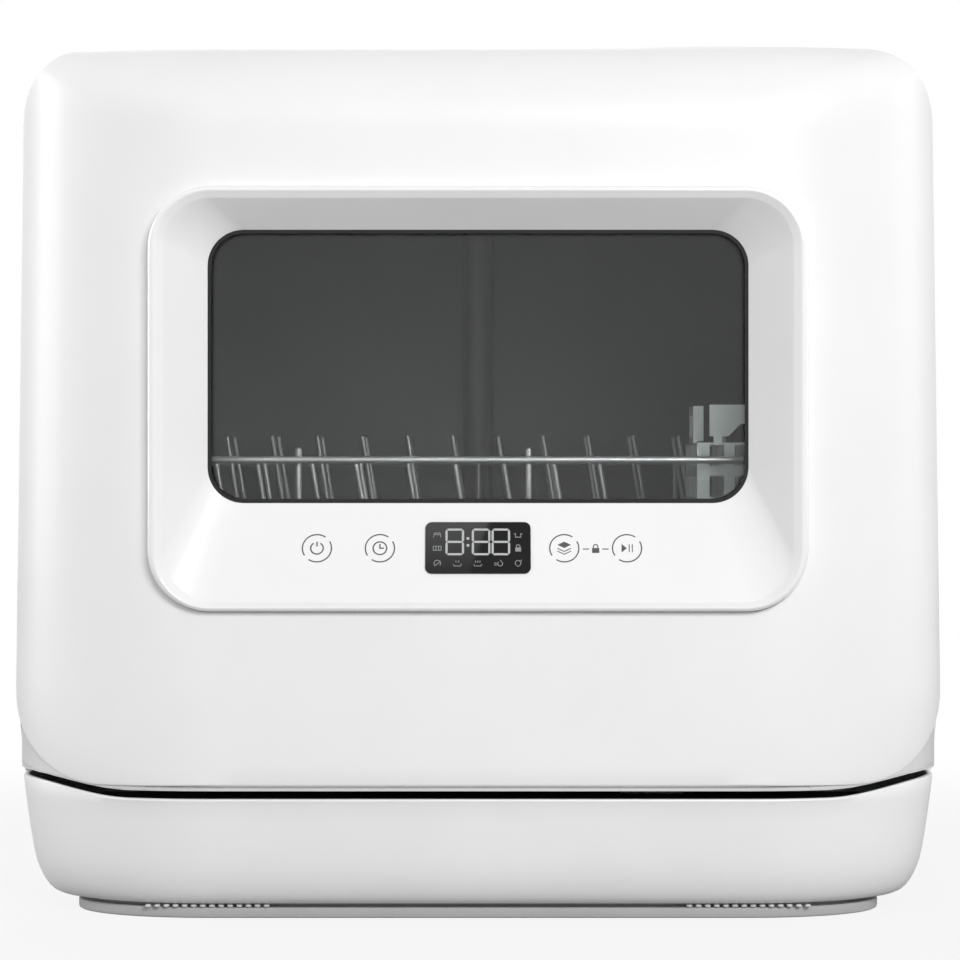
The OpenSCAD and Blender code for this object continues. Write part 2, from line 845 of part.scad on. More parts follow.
// Strain relief that the mains lead would pass through.
module cord_gland() {
    p = [cord_x, panel_y, fitting_z];
    color("black")
        difference() {
            union() {
                bar(p - [0, 3, 0], p, gland_r + 4, 48);
                bar(p - [0, 1, 0], p + [0, panel_t + 1, 0], gland_r - 0.2, 48);
                bar(p + [0, panel_t, 0], p + [0, panel_t + 3, 0], gland_r + 3, 48);
                bar(p + [0, panel_t, 0], p + [0, 16, 0], gland_r - 2, 48);
            }
            bar(p - [0, 4, 0], p + [0, 17, 0], cord_r, 32);
        }
}

module power_board() {
    low = plinth_h + base_wall;
    x = 48 - body_w / 2;
    y = panel_y - 133;
    color("seagreen") {
        block([x, y, low + 6], [x + 84, y + 96, low + 7.6]);
        for (i = [0, 1], j = [0, 1])
            translate([x + 6 + 72 * i, y + 6 + 84 * j, low])
                cylinder(r = 3, h = 7, $fn = 24);
        block([x + 12, y + 14, low + 7], [x + 44, y + 42, low + 30]);
        block([x + 54, y + 20, low + 7], [x + 74, y + 40, low + 24]);
        for (i = [0:2])
            translate([x + 22 + 18 * i, y + 66, low + 7])
                cylinder(r = 6, h = 18, $fn = 32);
    }
}

// Side ledges in the tub: the rack's glides run between the two strips.
module rack_rails() {
    for_y = frame_y + tub_wall + 1;
    color("gray")
        both_sides()
            for (z = [rail_low, rail_low + glide_h + 2 * fit + 2.5])
                block([tub_half - 12, for_y, z - 2.5], [tub_half, tub_back, z]);
}

// ---- Hinges and latch on the cabinet ----

module hinge_brackets() {
    eye = hinge_pin_r + 2.5;
    color("silver")
        both_sides()
            difference() {
                union() {
                    bar([hinge_x - 2.5, hinge_y, hinge_z], [hinge_x + 2.5, hinge_y, hinge_z], eye, 48);
                    block([hinge_x - 2.5, hinge_y, hinge_z - eye],
                        [hinge_x + 2.5, frame_y + 6, hinge_z + eye]);
                    block([hinge_x - 12, frame_y + tub_wall, hinge_z - eye],
                        [hinge_x + 12, frame_y + tub_wall + 3, hinge_z + eye]);
                }
                bar([hinge_x - 4, hinge_y, hinge_z], [hinge_x + 4, hinge_y, hinge_z], hinge_pin_r + 0.02, 48);
            }
}

module hinge_pins() {
    color("silver")
        both_sides()
            bar([hinge_x - 8, hinge_y, hinge_z], [hinge_x + 8, hinge_y, hinge_z], hinge_pin_r, 48);
}

module latch_housing() {
    y = frame_y + tub_wall;
    color("dimgray")
        difference() {
            block([-26, y, latch_z - 7.4], [26, y + 34, latch_z + 11]);
            block([-8, y - 1, latch_z - 4], [8, y + 26, latch_z + 9]);
        }
}

// ---- Door ----

// Right half of a ring of the face: bottom middle, lower corner, side, top corner, top middle.
// Each point is [x, z, share of top, share of bottom].
function face_half(half_low, half_high, low, high, r_low, r_high) =
    let (steps = [0, 0.3, 0.55, 0.72, 0.84, 0.93])
    concat(
        [for (f = steps) [f * (half_low - r_low), low, 0, 1]],
        [for (i = [0:8])
            let (a = 11.25 * i - 90)
            [half_low - r_low + r_low * cos(a), low + r_low + r_low * sin(a), 0, pow(sin(a), 2)]],
        [for (f = [0.33, 0.67])
            [half_low + f * (half_high - half_low),
                low + r_low + f * (high - r_high - low - r_low), 0, 0]],
        [for (i = [0:8])
            let (a = 11.25 * i)
            [half_high - r_high + r_high * cos(a), high - r_high + r_high * sin(a),
                pow(sin(a), 2), 0]],
        [for (i = [5:-1:0]) [steps[i] * (half_high - r_high), high, 1, 0]]
    );

// The face's slope at x and at z, as angles; both are 0 on its flat middle.
function side_slope(x, z) =
    asin(min(1, max(0, (abs(x) - half_w(z) + corner_w) / corner_w)));
function top_slope(z) = asin(min(1, max(0, (z - body_h + top_r) / top_r)));

// A point of the face's outer surface; edge is the depth of the lower edge's rounding.
function face_point(p, edge) =
    let (u = curve_d * (1 - cos(side_slope(p[0], p[1]))))
    let (t = p[2] * top_r * (1 - cos(top_slope(p[1]))) + p[3] * edge)
    [p[0], face_y + curve_d - (curve_d - u) * (curve_d - t) / curve_d, p[1]];

// The point one wall below it.
function under_point(p, edge) =
    let (o = face_point(p, p[3] > 0 ? 0 : edge))
    let (a = side_slope(p[0], p[1]), b = p[2] * top_slope(p[1]))
    o + face_wall * [-sin(a), cos(a) * cos(b), -cos(a) * sin(b)];

// The point straight behind it on the wall's inner side, for the edge of the window's hole.
function behind_point(p) =
    let (o = face_point(p, 0))
    [o[0], o[1] + face_wall / cos(side_slope(p[0], p[1])), o[2]];

// Adds the mirrored left half.
function both_halves(h) =
    concat(h, [for (i = [len(h) - 2:-1:1]) [-h[i][0], h[i][1], h[i][2]]]);

module door_outer_panel() {
    edge_r = 2.2;
    hole = [rim_half + fit, rim_half + fit, rim_low - fit, rim_high + fit, rim_r, rim_r];
    function level(a) = [
        half_w(face_low + low_corner_r) - corner_w * (1 - sin(a)),
        half_w(body_h - top_r) - corner_w * (1 - sin(a)),
        face_low + edge_r * (1 - sin(a)), body_h - top_r * (1 - sin(a)), low_corner_r, top_r];
    angles = [22, 34, 46, 57, 67, 76, 84, 90];
    levels = concat(
        [for (f = [0, 0.25, 0.5, 0.75]) [hole + f * (level(angles[0]) - hole), 0]],
        [for (a = angles) [level(a), edge_r * (1 - cos(a))]]);
    halves = [for (l = levels)
        [face_half(l[0][0], l[0][1], l[0][2], l[0][3], l[0][4], l[0][5]), l[1]]];
    outer = [for (h = halves) both_halves([for (p = h[0]) face_point(p, h[1])])];
    inner = [for (i = [0:len(halves) - 1])
        both_halves([for (p = halves[i][0]) i == 0 ? behind_point(p) : under_point(p, halves[i][1])])];
    last = halves[len(halves) - 1][0];
    rim_y = [for (p = last)
        p[3] > 0 ? face_point(p, edge_r)[1] + 0.4 : part_y];
    rim = both_halves([for (i = [0:len(last) - 1])
        let (q = face_point(last[i], edge_r)) [q[0], rim_y[i], q[2]]]);
    rim_in = both_halves([for (i = [0:len(last) - 1])
        let (q = under_point(last[i], edge_r), y = rim_y[i]) [q[0], max(y, (y + q[1]) / 2), q[2]]]);
    n = len(outer);
    rings = concat(outer, [rim, rim_in], [for (i = [n - 1:-1:0]) inner[i]]);
    m = len(rim);
    color("white")
        polyhedron([for (r = rings, p = r) p], ring_faces(len(rings), m, true), convexity = 10);
}

// Inner frame of the door: its lower flank shows below the face's round corners.
// Two posts and a rail behind the face take the liner's screws.
module door_frame() {
    half = half_w(face_low + 6) - 0.7;
    front = face_y + face_wall;
    deep = part_y - liner_t - front;
    wall = 2.5;
    high = widest_z + 4;
    half_in = half_w(door_low);
    post_y = part_y - liner_t - 12;
    color("white")
        difference() {
            union() {
                difference() {
                    frame_skirt(half, corner_w, front, deep, wall, high);
                    upright(front_y, door_t)
                        polygon(round_rect(half_w(face_low + low_corner_r) + 0.2, face_low - 0.2, body_h,
                            low_corner_r + 0.2, 12));
                }
                frame_skirt(half_in - face_wall - 1.6, corner_w + 4, front, deep, wall, high);
                both_sides()
                    block([post_x, post_y, door_low + 6.5], [post_x + post_w, part_y - liner_t, screw_z - 2]);
                block([-post_x - 5, post_y, screw_z - 6], [post_x + 5, part_y - liner_t, screw_z + 6]);
            }
            upright(front - 10, 2 * door_t)
                difference() {
                    translate([-body_w / 2 - 10, -1])
                        square([body_w + 20, high + 40]);
                    above_seam(door_low, 200);
                }
            both_sides() {
                block([hinge_x - 4, hinge_y - 6, door_low - 1], [hinge_x + 4, part_y, door_low + 12]);
                block([hinge_x - 8.3, hinge_y - hinge_pin_r - 3.3, door_low + wall],
                    [hinge_x + 8.3, hinge_y + 9, hinge_z + 7]);
            }
            block([-17, part_y - liner_t - 2.4, latch_z - 6], [17, part_y, latch_z + 6]);
            for (p = liner_screw_places)
                bar([p[0], part_y - 12, p[1]], [p[0], part_y, p[1]], 1.6, 24);
        }
}

// A curved wall in plan with a floor that follows the seam.
module frame_skirt(half, corner, front, deep, wall, high) {
    outer = flank(half, corner, front, deep);
    inner = flank(half - wall, corner, front + wall, deep - wall);
    linear_extrude(high)
        polygon(concat(outer, reverse(inner)));
    intersection() {
        linear_extrude(high)
            polygon(outer);
        upright(front, deep + 4)
            difference() {
                above_seam(door_low);
                above_seam(door_low + wall);
            }
    }
}

// Front curve of the door in plan, from left to right, ending at its depth.
function flank(half, corner, front, deep) =
    let (right = [for (i = [0:12])
        let (a = 7.5 * i)
        [half - corner + corner * sin(a), front + deep * (1 - cos(a))]])
    concat([for (i = [12:-1:0]) [-right[i][0], right[i][1]]], right);
function reverse(list) = [for (i = [len(list) - 1:-1:0]) list[i]];

// Raised rim, then a funnel down to the glass; its lower slope is the control panel.
module window_frame() {
    h = rim_half;
    l = rim_low;
    t = rim_high;
    back = face_y + 9;
    g = [glass_half, glass_low, glass_high, glass_r];
    rings = [
        rect_ring(h, l, t, rim_r, back),
        rect_ring(h, l, t, rim_r, front_y + 3),
        rect_ring(h - 0.9, l + 0.6, t - 0.8, rim_r - 0.9, front_y + 0.9),
        rect_ring(h - 2.8, l + 1.6, t - 2.2, rim_r - 2.6, front_y),
        rect_ring(h - 5.2, l + 3, t - 4.2, rim_r - 4.4, front_y + 0.5),
        rect_ring(h - 6.9, l + 4, t - 5.4, rim_r - 5.4, front_y + 2.4),
        rect_ring(g[0], g[1], g[2], g[3], glass_y - 1.6),
        rect_ring(g[0], g[1], g[2], g[3], glass_y),
        rect_ring(g[0] + 4, g[1] - 4, g[2] + 4, g[3] + 3, glass_y),
        rect_ring(h - 3, l + 3, t - 3, rim_r - 2.5, front_y + 5.4),
        rect_ring(h - 3, l + 3, t - 3, rim_r - 2.5, back)
    ];
    color("white")
        polyhedron([for (r = rings, p = r) p], ring_faces(len(rings), len(rings[0]), true),
            convexity = 10);
}

// Clips that hold the window frame behind the face, above and below it.
module frame_clips() {
    color("silver")
        for (x = [-84, 0, 84], z = [rim_low - 5, rim_high])
            difference() {
                block([x - 8, face_y + face_wall, z], [x + 8, face_y + face_wall + 4, z + 5]);
                block([x - 5, face_y + face_wall + 1.2, z + 1.2], [x + 5, face_y + face_wall + 5, z + 3.8]);
            }
}

// The control panel's slope: a point on it at height z, and its tilt from upright.
slope_low = [rim_low + 4, front_y + 2.4];
slope_high = [glass_low, glass_y - 1.6];
slope_tilt = atan2(slope_high[1] - slope_low[1], slope_high[0] - slope_low[0]);
function slope_y(z) =
    slope_low[1] + (slope_high[1] - slope_low[1]) * (z - slope_low[0]) / (slope_high[0] - slope_low[0]);

module window_glass() {
    color("lightblue", 0.4)
        upright(glass_y, glass_t)
            polygon(round_rect(glass_half + 8, glass_low - 6, glass_high + 8, glass_r + 6));
}

module window_gasket() {
    color("black")
        upright(glass_y - 1.2, 1.2)
            difference() {
                polygon(round_rect(glass_half, glass_low, glass_high, glass_r));
                polygon(round_rect(glass_half - 1.6, glass_low + 1.6, glass_high - 1.6, glass_r - 1.6));
            }
}

module display_lens() {
    z = panel_z;
    color("black")
        translate([0, slope_y(z), z])
            rotate([-slope_tilt, 0, 0])
                translate([0, -0.8, 0])
                    upright(0, 0.8)
                        polygon(round_rect(display_w / 2, -display_h / 2, display_h / 2, 3));
}

module control_board() {
    z = panel_z;
    color("seagreen")
        translate([0, slope_y(z), z])
            rotate([-slope_tilt, 0, 0])
                translate([0, 6.5, 0]) {
                    block([19 - glass_half, 0, -14], [glass_half - 19, 1.6, 12]);
                    block([-22, -1.8, -9], [22, 0.5, 9]);
                    for (x = [24 - glass_half, glass_half - 24], k = [-10, 8])
                        translate([x, 0.5, k])
                            rotate([90, 0, 0])
                                cylinder(r = 2.5, h = 3.8, $fn = 24);
                    for (x = key_x)
                        translate([x, 0.5, 0])
                            rotate([90, 0, 0])
                                cylinder(r = 6, h = 2, $fn = 32);
                }
}

module door_liner() {
    half = half_w(door_low) - 4;
    wall = 2.5;
    color("lightgray")
        difference() {
            union() {
                upright(part_y - liner_t, liner_t)
                    difference() {
                        intersection() {
                            polygon(round_rect(half, door_low + 1, body_h - face_wall - fit,
                                top_r - face_wall));
                            above_seam(door_low + 0.5, 400);
                        }
                        polygon(round_rect(tub_half, dish_low, dish_high, tub_r, 8));
                    }
                upright(dish_y, part_y - dish_y)
                    difference() {
                        polygon(round_rect(tub_half + wall, dish_low - wall, dish_high + wall,
                            tub_r + wall, 8));
                        polygon(round_rect(tub_half, dish_low, dish_high, tub_r, 8));
                    }
                upright(dish_y - wall, wall)
                    difference() {
                        polygon(round_rect(tub_half + wall, dish_low - wall, dish_high + wall,
                            tub_r + wall, 8));
                        polygon(round_rect(glass_half, glass_low + 2, glass_high + 2, glass_r));
                    }
            }
            both_sides()
                block([hinge_x - 4, part_y - 4, door_low], [hinge_x + 4, part_y + 1, hinge_z + 7.5]);
            block([-cup_half, dish_y - 3, cup_low], [cup_half, dish_y + 1, cup_low + cup_h]);
            block([-5.3, part_y - 4, latch_z - 2.3], [5.3, part_y + 1, latch_z + 2.3]);
            for (p = liner_screw_places)
                translate([p[0], part_y + 1, p[1]])
                    rotate([90, 0, 0]) {
                        cylinder(r = 3.4, h = 2.6, $fn = 24);
                        cylinder(r = 1.6, h = 6, $fn = 24);
                    }
        }
}

module inner_pane() {
    color("lightblue", 0.4)
        upright(dish_y - 5.5, 3)
            polygon(round_rect(glass_half + 6, glass_low - 4, glass_high + 8, glass_r + 4));
}

module liner_screws() {
    color("silver")
        for (p = liner_screw_places)
            translate([p[0], part_y - 0.2, p[1]])
                rotate([90, 0, 0]) {
                    cylinder(r = 3.2, h = 1.4, $fn = 24);
                    cylinder(r = 1.5, h = 10, $fn = 24);
                }
}

module door_striker() {
    color("silver") {
        block([-16, part_y - liner_t - 2, latch_z - 5], [16, part_y - liner_t, latch_z + 5]);
        block([-5, part_y - liner_t - 1, latch_z - 2], [5, part_y + 18, latch_z + 2]);
    }
}

module detergent_cup() {
    y = dish_y - 2.5;
    color("gainsboro")
        difference() {
            union() {
                block([-cup_half + 0.1, y, cup_low + 0.1], [cup_half - 0.1, y + 16, cup_low + cup_h - 0.1]);
                block([-cup_half - 2, dish_y, cup_low - 2],
                    [cup_half + 2, dish_y + 1.5, cup_low + cup_h + 2]);
            }
            block([-cup_half + 2, y + 2, cup_low + 2], [cup_half - 2, y + 17, cup_low + cup_h - 2]);
        }
}

// Two ears a side, fixed in the door, that turn on the hinge pins.
module hinge_blocks() {
    r = hinge_pin_r + 3;
    color("silver")
        both_sides()
            for (x = [hinge_x - 8, hinge_x + 4])
                difference() {
                    union() {
                        bar([x, hinge_y, hinge_z], [x + 4, hinge_y, hinge_z], r, 48);
                        block([x, hinge_y - r, door_low + 2.5], [x + 4, hinge_y + r, hinge_z]);
                        block([x, hinge_y, door_low + 2.5], [x + 4, part_y - liner_t, door_low + 7]);
                    }
                    bar([x - 1, hinge_y, hinge_z], [x + 5, hinge_y, hinge_z], hinge_pin_r + run, 48);
                }
}

// ---- Rack ----

module rack_grid() {
    z = rack_low + wire_r;
    r = wire_r;
    half = rack_half - 6;
    color("whitesmoke") {
        for (i = [0:12])
            bar([half * (i / 6 - 1), rack_front, z], [half * (i / 6 - 1), rack_back, z], r, 8);
        for (i = [0:5])
            let (y = rack_front + 16 + i * (rack_back - rack_front - 35) / 5)
                bar([-rack_half + rail_wire_r, y, z + 2 * r], [rack_half - rail_wire_r, y, z + 2 * r], r, 8);
    }
}

// A closed loop of wire with square turns, and round ends at its corners.
module wire_loop(half, low, high, z, r) {
    corners = [[-half, low, z], [half, low, z], [half, high, z], [-half, high, z]];
    for (i = [0:3]) {
        bar(corners[i], corners[(i + 1) % 4], r, wire_fn);
        translate(corners[i])
            sphere(r = r, $fn = wire_fn);
    }
}

module rack_walls() {
    r = rail_wire_r;
    low = rack_low + 2 * wire_r + r;
    color("whitesmoke") {
        wire_loop(rack_half, rack_front, rack_back, rail_z, r);
        wire_loop(rack_half, rack_front, rack_back, low, r);
        for (x = front_posts)
            bar([x, rack_front, low], [x, rack_front, rail_z + 5], r - 0.1, wire_fn);
        for (x = [58 - rack_half, 0, rack_half - 58])
            bar([x, rack_back, low], [x, rack_back, rail_z + 3], r - 0.1, wire_fn);
        both_sides()
            for (y = [rack_front + 50, (rack_front + rack_back) / 2, rack_back - 80])
                bar([rack_half, y, low], [rack_half, y, rail_z], r - 0.1, wire_fn);
    }
}

// Rows of tines that hold dishes upright; they lean towards -X.
module rack_tines() {
    r = wire_r;
    base = rack_low + 3 * r;
    color("whitesmoke")
        for (row = tine_rows) {
            bar([row[1], row[0], base], [row[2], row[0], base], r, 8);
            for (i = [0:floor((row[2] - row[1] - 8) / row[3])])
                bar([row[1] + 4 + i * row[3], row[0], base],
                    [row[1] + 4 + i * row[3] - row[4] * tine_lean, row[0], base + row[4]], r - 0.1, 8);
        }
}

module rack_glides() {
    low = rack_low + 2 * wire_r + rail_wire_r;
    color("silver")
        both_sides()
            for (y = [rack_front + 20, rack_back - 62])
                difference() {
                    block([rack_half - 4, y, rail_low + fit],
                        [tub_half - 2.5, y + 24, rail_low + fit + glide_h]);
                    bar([rack_half, y - 1, low], [rack_half, y + 25, low], rail_wire_r + run, 24);
                }
}

// Lift-out cutlery basket with slotted walls, a cross wall, a grip and a notched plate in front.
module cutlery_basket() {
    x = basket_x;
    y = basket_y;
    w = basket_w;
    d = basket_d;
    low = basket_low;
    h = basket_h;
    t = 2;
    color("gray")
        difference() {
            union() {
                block([x, y, low], [x + w, y + d, low + h]);
                block([x, y + d / 2 - 14, low + h - 4], [x + 5, y + d / 2 + 14, low + h + grip_h]);
                upright(y, t)
                    polygon([[x + 6, low + h + 3], [x + 15, low + h + 3], [x + 21, low + h + grip_h / 2],
                        [x + w - 4, low + h + grip_h / 2], [x + w - 4, low + h + grip_h],
                        [x + 6, low + h + grip_h]]);
                for (leg = [x + 8, x + w - 10])
                    block([leg, y, low + h - 2], [leg + 4, y + t, low + h + grip_h - 2]);
            }
            for (i = [0, 1])
                block([x + t, y + t + i * (d - t) / 2, low + t],
                    [x + w - t, y + (i + 1) * (d - t) / 2, low + h + 1]);
            for (i = [0:5], k = [0:3])
                block([x - 1, y + 6 + i * 12.5, low + 8 + k * 15],
                    [x + w + 1, y + 13 + i * 12.5, low + 18 + k * 15]);
            for (i = [0:3], k = [0:3])
                block([x + 6 + i * 12, y - 1, low + 8 + k * 15],
                    [x + 13 + i * 12, y + d + 1, low + 18 + k * 15]);
            block([x - 1, y + d / 2 - 9, low + h + 3], [x + 6, y + d / 2 + 9, low + h + grip_h - 4]);
        }
}

base_housing();
plinth();
rubber_feet();
seam_strip();
cabinet_shell();
front_frame();
rear_panel();
tub();
tub_seal();
sump();
filter_plate();
filter_cup();
lower_arm_hub();
lower_spray_arm();
upper_arm_hub();
upper_spray_arm();
riser_pipe();
supply_pipe();
wash_pump();
heater();
drain_pump();
drain_hose();
water_tank();
tank_hose();
fill_collar();
fill_lid();
fill_lid_pin();
inlet_valve();
drain_outlet();
cord_gland();
power_board();
rack_rails();
hinge_brackets();
hinge_pins();
latch_housing();
door_outer_panel();
door_frame();
window_frame();
frame_clips();
window_glass();
window_gasket();
display_lens();
control_board();
door_liner();
inner_pane();
door_striker();
detergent_cup();
hinge_blocks();
liner_screws();
rack_grid();
rack_walls();
rack_tines();
rack_glides();
cutlery_basket();
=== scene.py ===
import bpy
import math
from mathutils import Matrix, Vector


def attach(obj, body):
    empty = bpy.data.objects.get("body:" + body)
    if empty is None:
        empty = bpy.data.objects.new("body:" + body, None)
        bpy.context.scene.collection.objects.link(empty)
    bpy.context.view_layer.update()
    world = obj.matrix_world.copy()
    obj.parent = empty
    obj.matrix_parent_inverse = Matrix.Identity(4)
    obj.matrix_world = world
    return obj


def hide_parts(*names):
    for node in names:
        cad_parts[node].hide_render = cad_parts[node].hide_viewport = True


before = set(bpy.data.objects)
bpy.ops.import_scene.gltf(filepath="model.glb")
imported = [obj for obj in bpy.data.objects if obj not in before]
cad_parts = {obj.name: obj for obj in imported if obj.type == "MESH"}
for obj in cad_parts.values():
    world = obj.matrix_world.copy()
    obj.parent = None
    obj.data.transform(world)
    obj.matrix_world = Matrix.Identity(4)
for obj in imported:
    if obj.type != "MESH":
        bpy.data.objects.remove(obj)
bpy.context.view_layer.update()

# ---- Cabinet shell ----
# The cabinet is one white injection-moulded arch: two side walls and the top in a single shell, its
# rear edge rounded over. Semi-gloss ABS with a very fine moulded grain, read from the photo as near white.

MM = 0.001
# The body's box; the sides are widest at one height and lean in by so much at the top and the seam.
BODY_W, BODY_D, BODY_H = 440.0, 430.0, 404.0
WIDEST, LEAN_TOP, LEAN_LOW, TOP_R = 106.0, 4.0, 3.5, 40.0
# From front to back: the bezel, the parting plane of door and cabinet, the front frame, the shell's end.
FRONT_Y, BACK_Y = -BODY_D / 2, BODY_D / 2
PART_Y = FRONT_Y + 80.0
FRAME_Y = PART_Y + 2.5
SHELL_BACK = BACK_Y - 8.0
# The door's lower edge; the shell's lower edge, wall and rear radius; the hole for the fill lid.
DOOR_LOW = 60.6
SHELL_LOW, SHELL_WALL, REAR_R = 63.0, 3.0, 9.0
LID_HOLE = ((-42.3, 151.7, 380), (42.3, 187, 410))
# How strongly the fine grain counts, beside the broad patches, in mixing a material's two colours.
GRAIN_SHARE = 0.35


def linear(code):
    """An sRGB hex colour as linear RGBA."""
    out = []
    for i in (0, 2, 4):
        c = int(code[i:i + 2], 16) / 255
        out.append(c / 12.92 if c <= 0.04045 else ((c + 0.055) / 1.055) ** 2.4)
    return (*out, 1.0)


def make_material(name, light, dark, rough, grain_mm, spread=0.05, bump=0.0, metal=0.0, coat=0.0,
                  stretch=(1.0, 1.0, 1.0), patch_mm=60.0):
    """A material of two close colours: fine grain plus broad patches, both of real size.

    The roughness varies by spread from patch to patch; bump is the grain's height in millimetres.
    """
    mat = bpy.data.materials.new(name)
    mat.use_nodes = True
    nodes, links = mat.node_tree.nodes, mat.node_tree.links
    bsdf = nodes["Principled BSDF"]
    coord = nodes.new("ShaderNodeTexCoord")
    mapping = nodes.new("ShaderNodeMapping")
    mapping.inputs["Scale"].default_value = stretch
    links.new(coord.outputs["Object"], mapping.inputs["Vector"])
    grain = nodes.new("ShaderNodeTexNoise")
    grain.inputs["Scale"].default_value = 1000.0 / grain_mm
    grain.inputs["Detail"].default_value = 3.0
    links.new(mapping.outputs["Vector"], grain.inputs["Vector"])
    patch = nodes.new("ShaderNodeTexNoise")
    patch.inputs["Scale"].default_value = 1000.0 / patch_mm
    patch.inputs["Detail"].default_value = 2.0
    links.new(coord.outputs["Object"], patch.inputs["Vector"])
    share = nodes.new("ShaderNodeMath")
    share.operation = "MULTIPLY_ADD"
    share.inputs[1].default_value = GRAIN_SHARE
    links.new(grain.outputs["Fac"], share.inputs[0])
    links.new(patch.outputs["Fac"], share.inputs[2])
    mix = nodes.new("ShaderNodeMix")
    mix.data_type = "RGBA"
    mix.inputs["A"].default_value = linear(dark)
    mix.inputs["B"].default_value = linear(light)
    links.new(share.outputs["Value"], mix.inputs["Factor"])
    links.new(mix.outputs["Result"], bsdf.inputs["Base Color"])
    vary = nodes.new("ShaderNodeMapRange")
    vary.inputs["To Min"].default_value = max(0.02, rough - spread)
    vary.inputs["To Max"].default_value = min(1.0, rough + spread)
    links.new(patch.outputs["Fac"], vary.inputs["Value"])
    links.new(vary.outputs["Result"], bsdf.inputs["Roughness"])
    bsdf.inputs["Metallic"].default_value = metal
    bsdf.inputs["Coat Weight"].default_value = coat
    bsdf.inputs["Coat Roughness"].default_value = 0.12
    if bump:
        relief = nodes.new("ShaderNodeBump")
        relief.inputs["Strength"].default_value = 0.5
        relief.inputs["Distance"].default_value = bump * MM
        links.new(grain.outputs["Fac"], relief.inputs["Height"])
        links.new(relief.outputs["Normal"], bsdf.inputs["Normal"])
    return mat


def make_piece(name, points, faces, mat, sharp=32.0, smooth=True):
    """A mesh object from points in millimetres, smooth but for edges sharper than the given angle."""
    mesh = bpy.data.meshes.new(name)
    mesh.from_pydata([(x * MM, y * MM, z * MM) for x, y, z in points], [], faces)
    mesh.validate()
    mesh.polygons.foreach_set("use_smooth", [smooth] * len(mesh.polygons))
    if smooth:
        mesh.set_sharp_from_angle(angle=math.radians(sharp))
    mesh.materials.append(mat)
    piece = bpy.data.objects.new(name, mesh)
    bpy.context.scene.collection.objects.link(piece)
    return piece


def ring_quads(rings, count, closed_set=False, closed_ring=True):
    """Quads between rings of count points each; a closed set also joins the last ring to the first."""
    faces = []
    for i in range(rings if closed_set else rings - 1):
        for j in range(count if closed_ring else count - 1):
            a, b = i * count + j, i * count + (j + 1) % count
            c, d = ((i + 1) % rings) * count + (j + 1) % count, ((i + 1) % rings) * count + j
            faces.append((a, b, c, d))
    return faces


BOX_SIDES = [(0, 2, 3, 1), (4, 5, 7, 6), (0, 1, 5, 4), (2, 6, 7, 3), (0, 4, 6, 2), (1, 3, 7, 5)]


def box_corners(low, high):
    """The eight corners of a block, given by its lowest and highest."""
    return [((low, high)[i & 1][0], (low, high)[i >> 1 & 1][1], (low, high)[i >> 2][2]) for i in range(8)]


def cut_box(piece, low, high):
    """Cuts a block, given by two corners in millimetres, out of a piece, for good and without a modifier."""
    mesh = bpy.data.meshes.new("cutter")
    mesh.from_pydata([tuple(c * MM for c in p) for p in box_corners(low, high)], [], BOX_SIDES)
    cutter = bpy.data.objects.new("cutter", mesh)
    bpy.context.scene.collection.objects.link(cutter)
    modifier = piece.modifiers.new("Cut", "BOOLEAN")
    modifier.operation = "DIFFERENCE"
    modifier.solver = "EXACT"
    modifier.object = cutter
    bpy.context.view_layer.update()
    done = bpy.data.meshes.new_from_object(piece.evaluated_get(bpy.context.evaluated_depsgraph_get()))
    piece.modifiers.remove(modifier)
    piece.data = done
    bpy.data.objects.remove(cutter)


def half_w(z):
    """Half of the body's width at height z."""
    if z > WIDEST:
        return BODY_W / 2 - LEAN_TOP * (z - WIDEST) / (BODY_H - WIDEST)
    return BODY_W / 2 - LEAN_LOW * ((WIDEST - z) / (WIDEST - DOOR_LOW)) ** 2


def arch(inset, low, steps=24):
    """The cabinet's arch as XZ points from the right foot over the top to the left foot."""
    r, top = TOP_R - inset, BODY_H - inset
    foot = [low + (BODY_H - TOP_R - low) * i / 14 for i in range(14)]
    right = [(half_w(z) - inset, z) for z in foot]
    centre = half_w(BODY_H - TOP_R) - inset - r
    for i in range(steps + 1):
        a = math.pi / 2 * i / steps
        right.append((centre + r * math.cos(a), top - r + r * math.sin(a)))
    return right + [(-x, z) for x, z in reversed(right)]


# Injection-moulded ABS: satin from a fine etched grain, with a faint gloss on top.
white_shell = make_material("White ABS shell moulding", "f6f6f6", "efefef", 0.42, 0.5, bump=0.012, coat=0.06)

# Each station is a depth and how far the arch is drawn in there: outside to the back, then inside again.
stations = [(FRAME_Y, 0.8), (FRAME_Y + 0.25, 0.25), (FRAME_Y + 0.8, 0.0), (SHELL_BACK - REAR_R, 0.0)]
for degrees in range(9, 91, 9):
    a = math.radians(degrees)
    stations.append((SHELL_BACK - REAR_R + REAR_R * math.sin(a), REAR_R - REAR_R * math.cos(a)))
stations += [(SHELL_BACK, 11.0), (SHELL_BACK - 4, 5.6)]
stations += [(SHELL_BACK - REAR_R, SHELL_WALL), (FRAME_Y, SHELL_WALL)]
rings = [[(x, y, z) for x, z in arch(inset, SHELL_LOW)] for y, inset in stations]
count = len(rings[0])
faces = ring_quads(len(rings), count, closed_set=True, closed_ring=False)
for j in (0, count - 1):
    rim = [i * count + j for i in range(len(rings))]
    faces.append(tuple(rim) if j else tuple(reversed(rim)))
shell = make_piece("cabinet_skin", [p for r in rings for p in r], faces, white_shell)
cut_box(shell, *LID_HOLE)
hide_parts("cabinet_shell")
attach(shell, "cabinet")

# ---- Base housing, plinth and feet ----
# The base is a second white moulding, a bowl that narrows downwards and stands on a recessed plinth.
# Its lip follows the seam, rising at both ends; small ribs in the shadow above the plinth are vents.

# The depth of the door's face, which the base is flush with; width and depth of the round corners in plan.
FACE_Y = FRONT_Y + 6.0
CORNER_W, CURVE = 95.0, 73.0
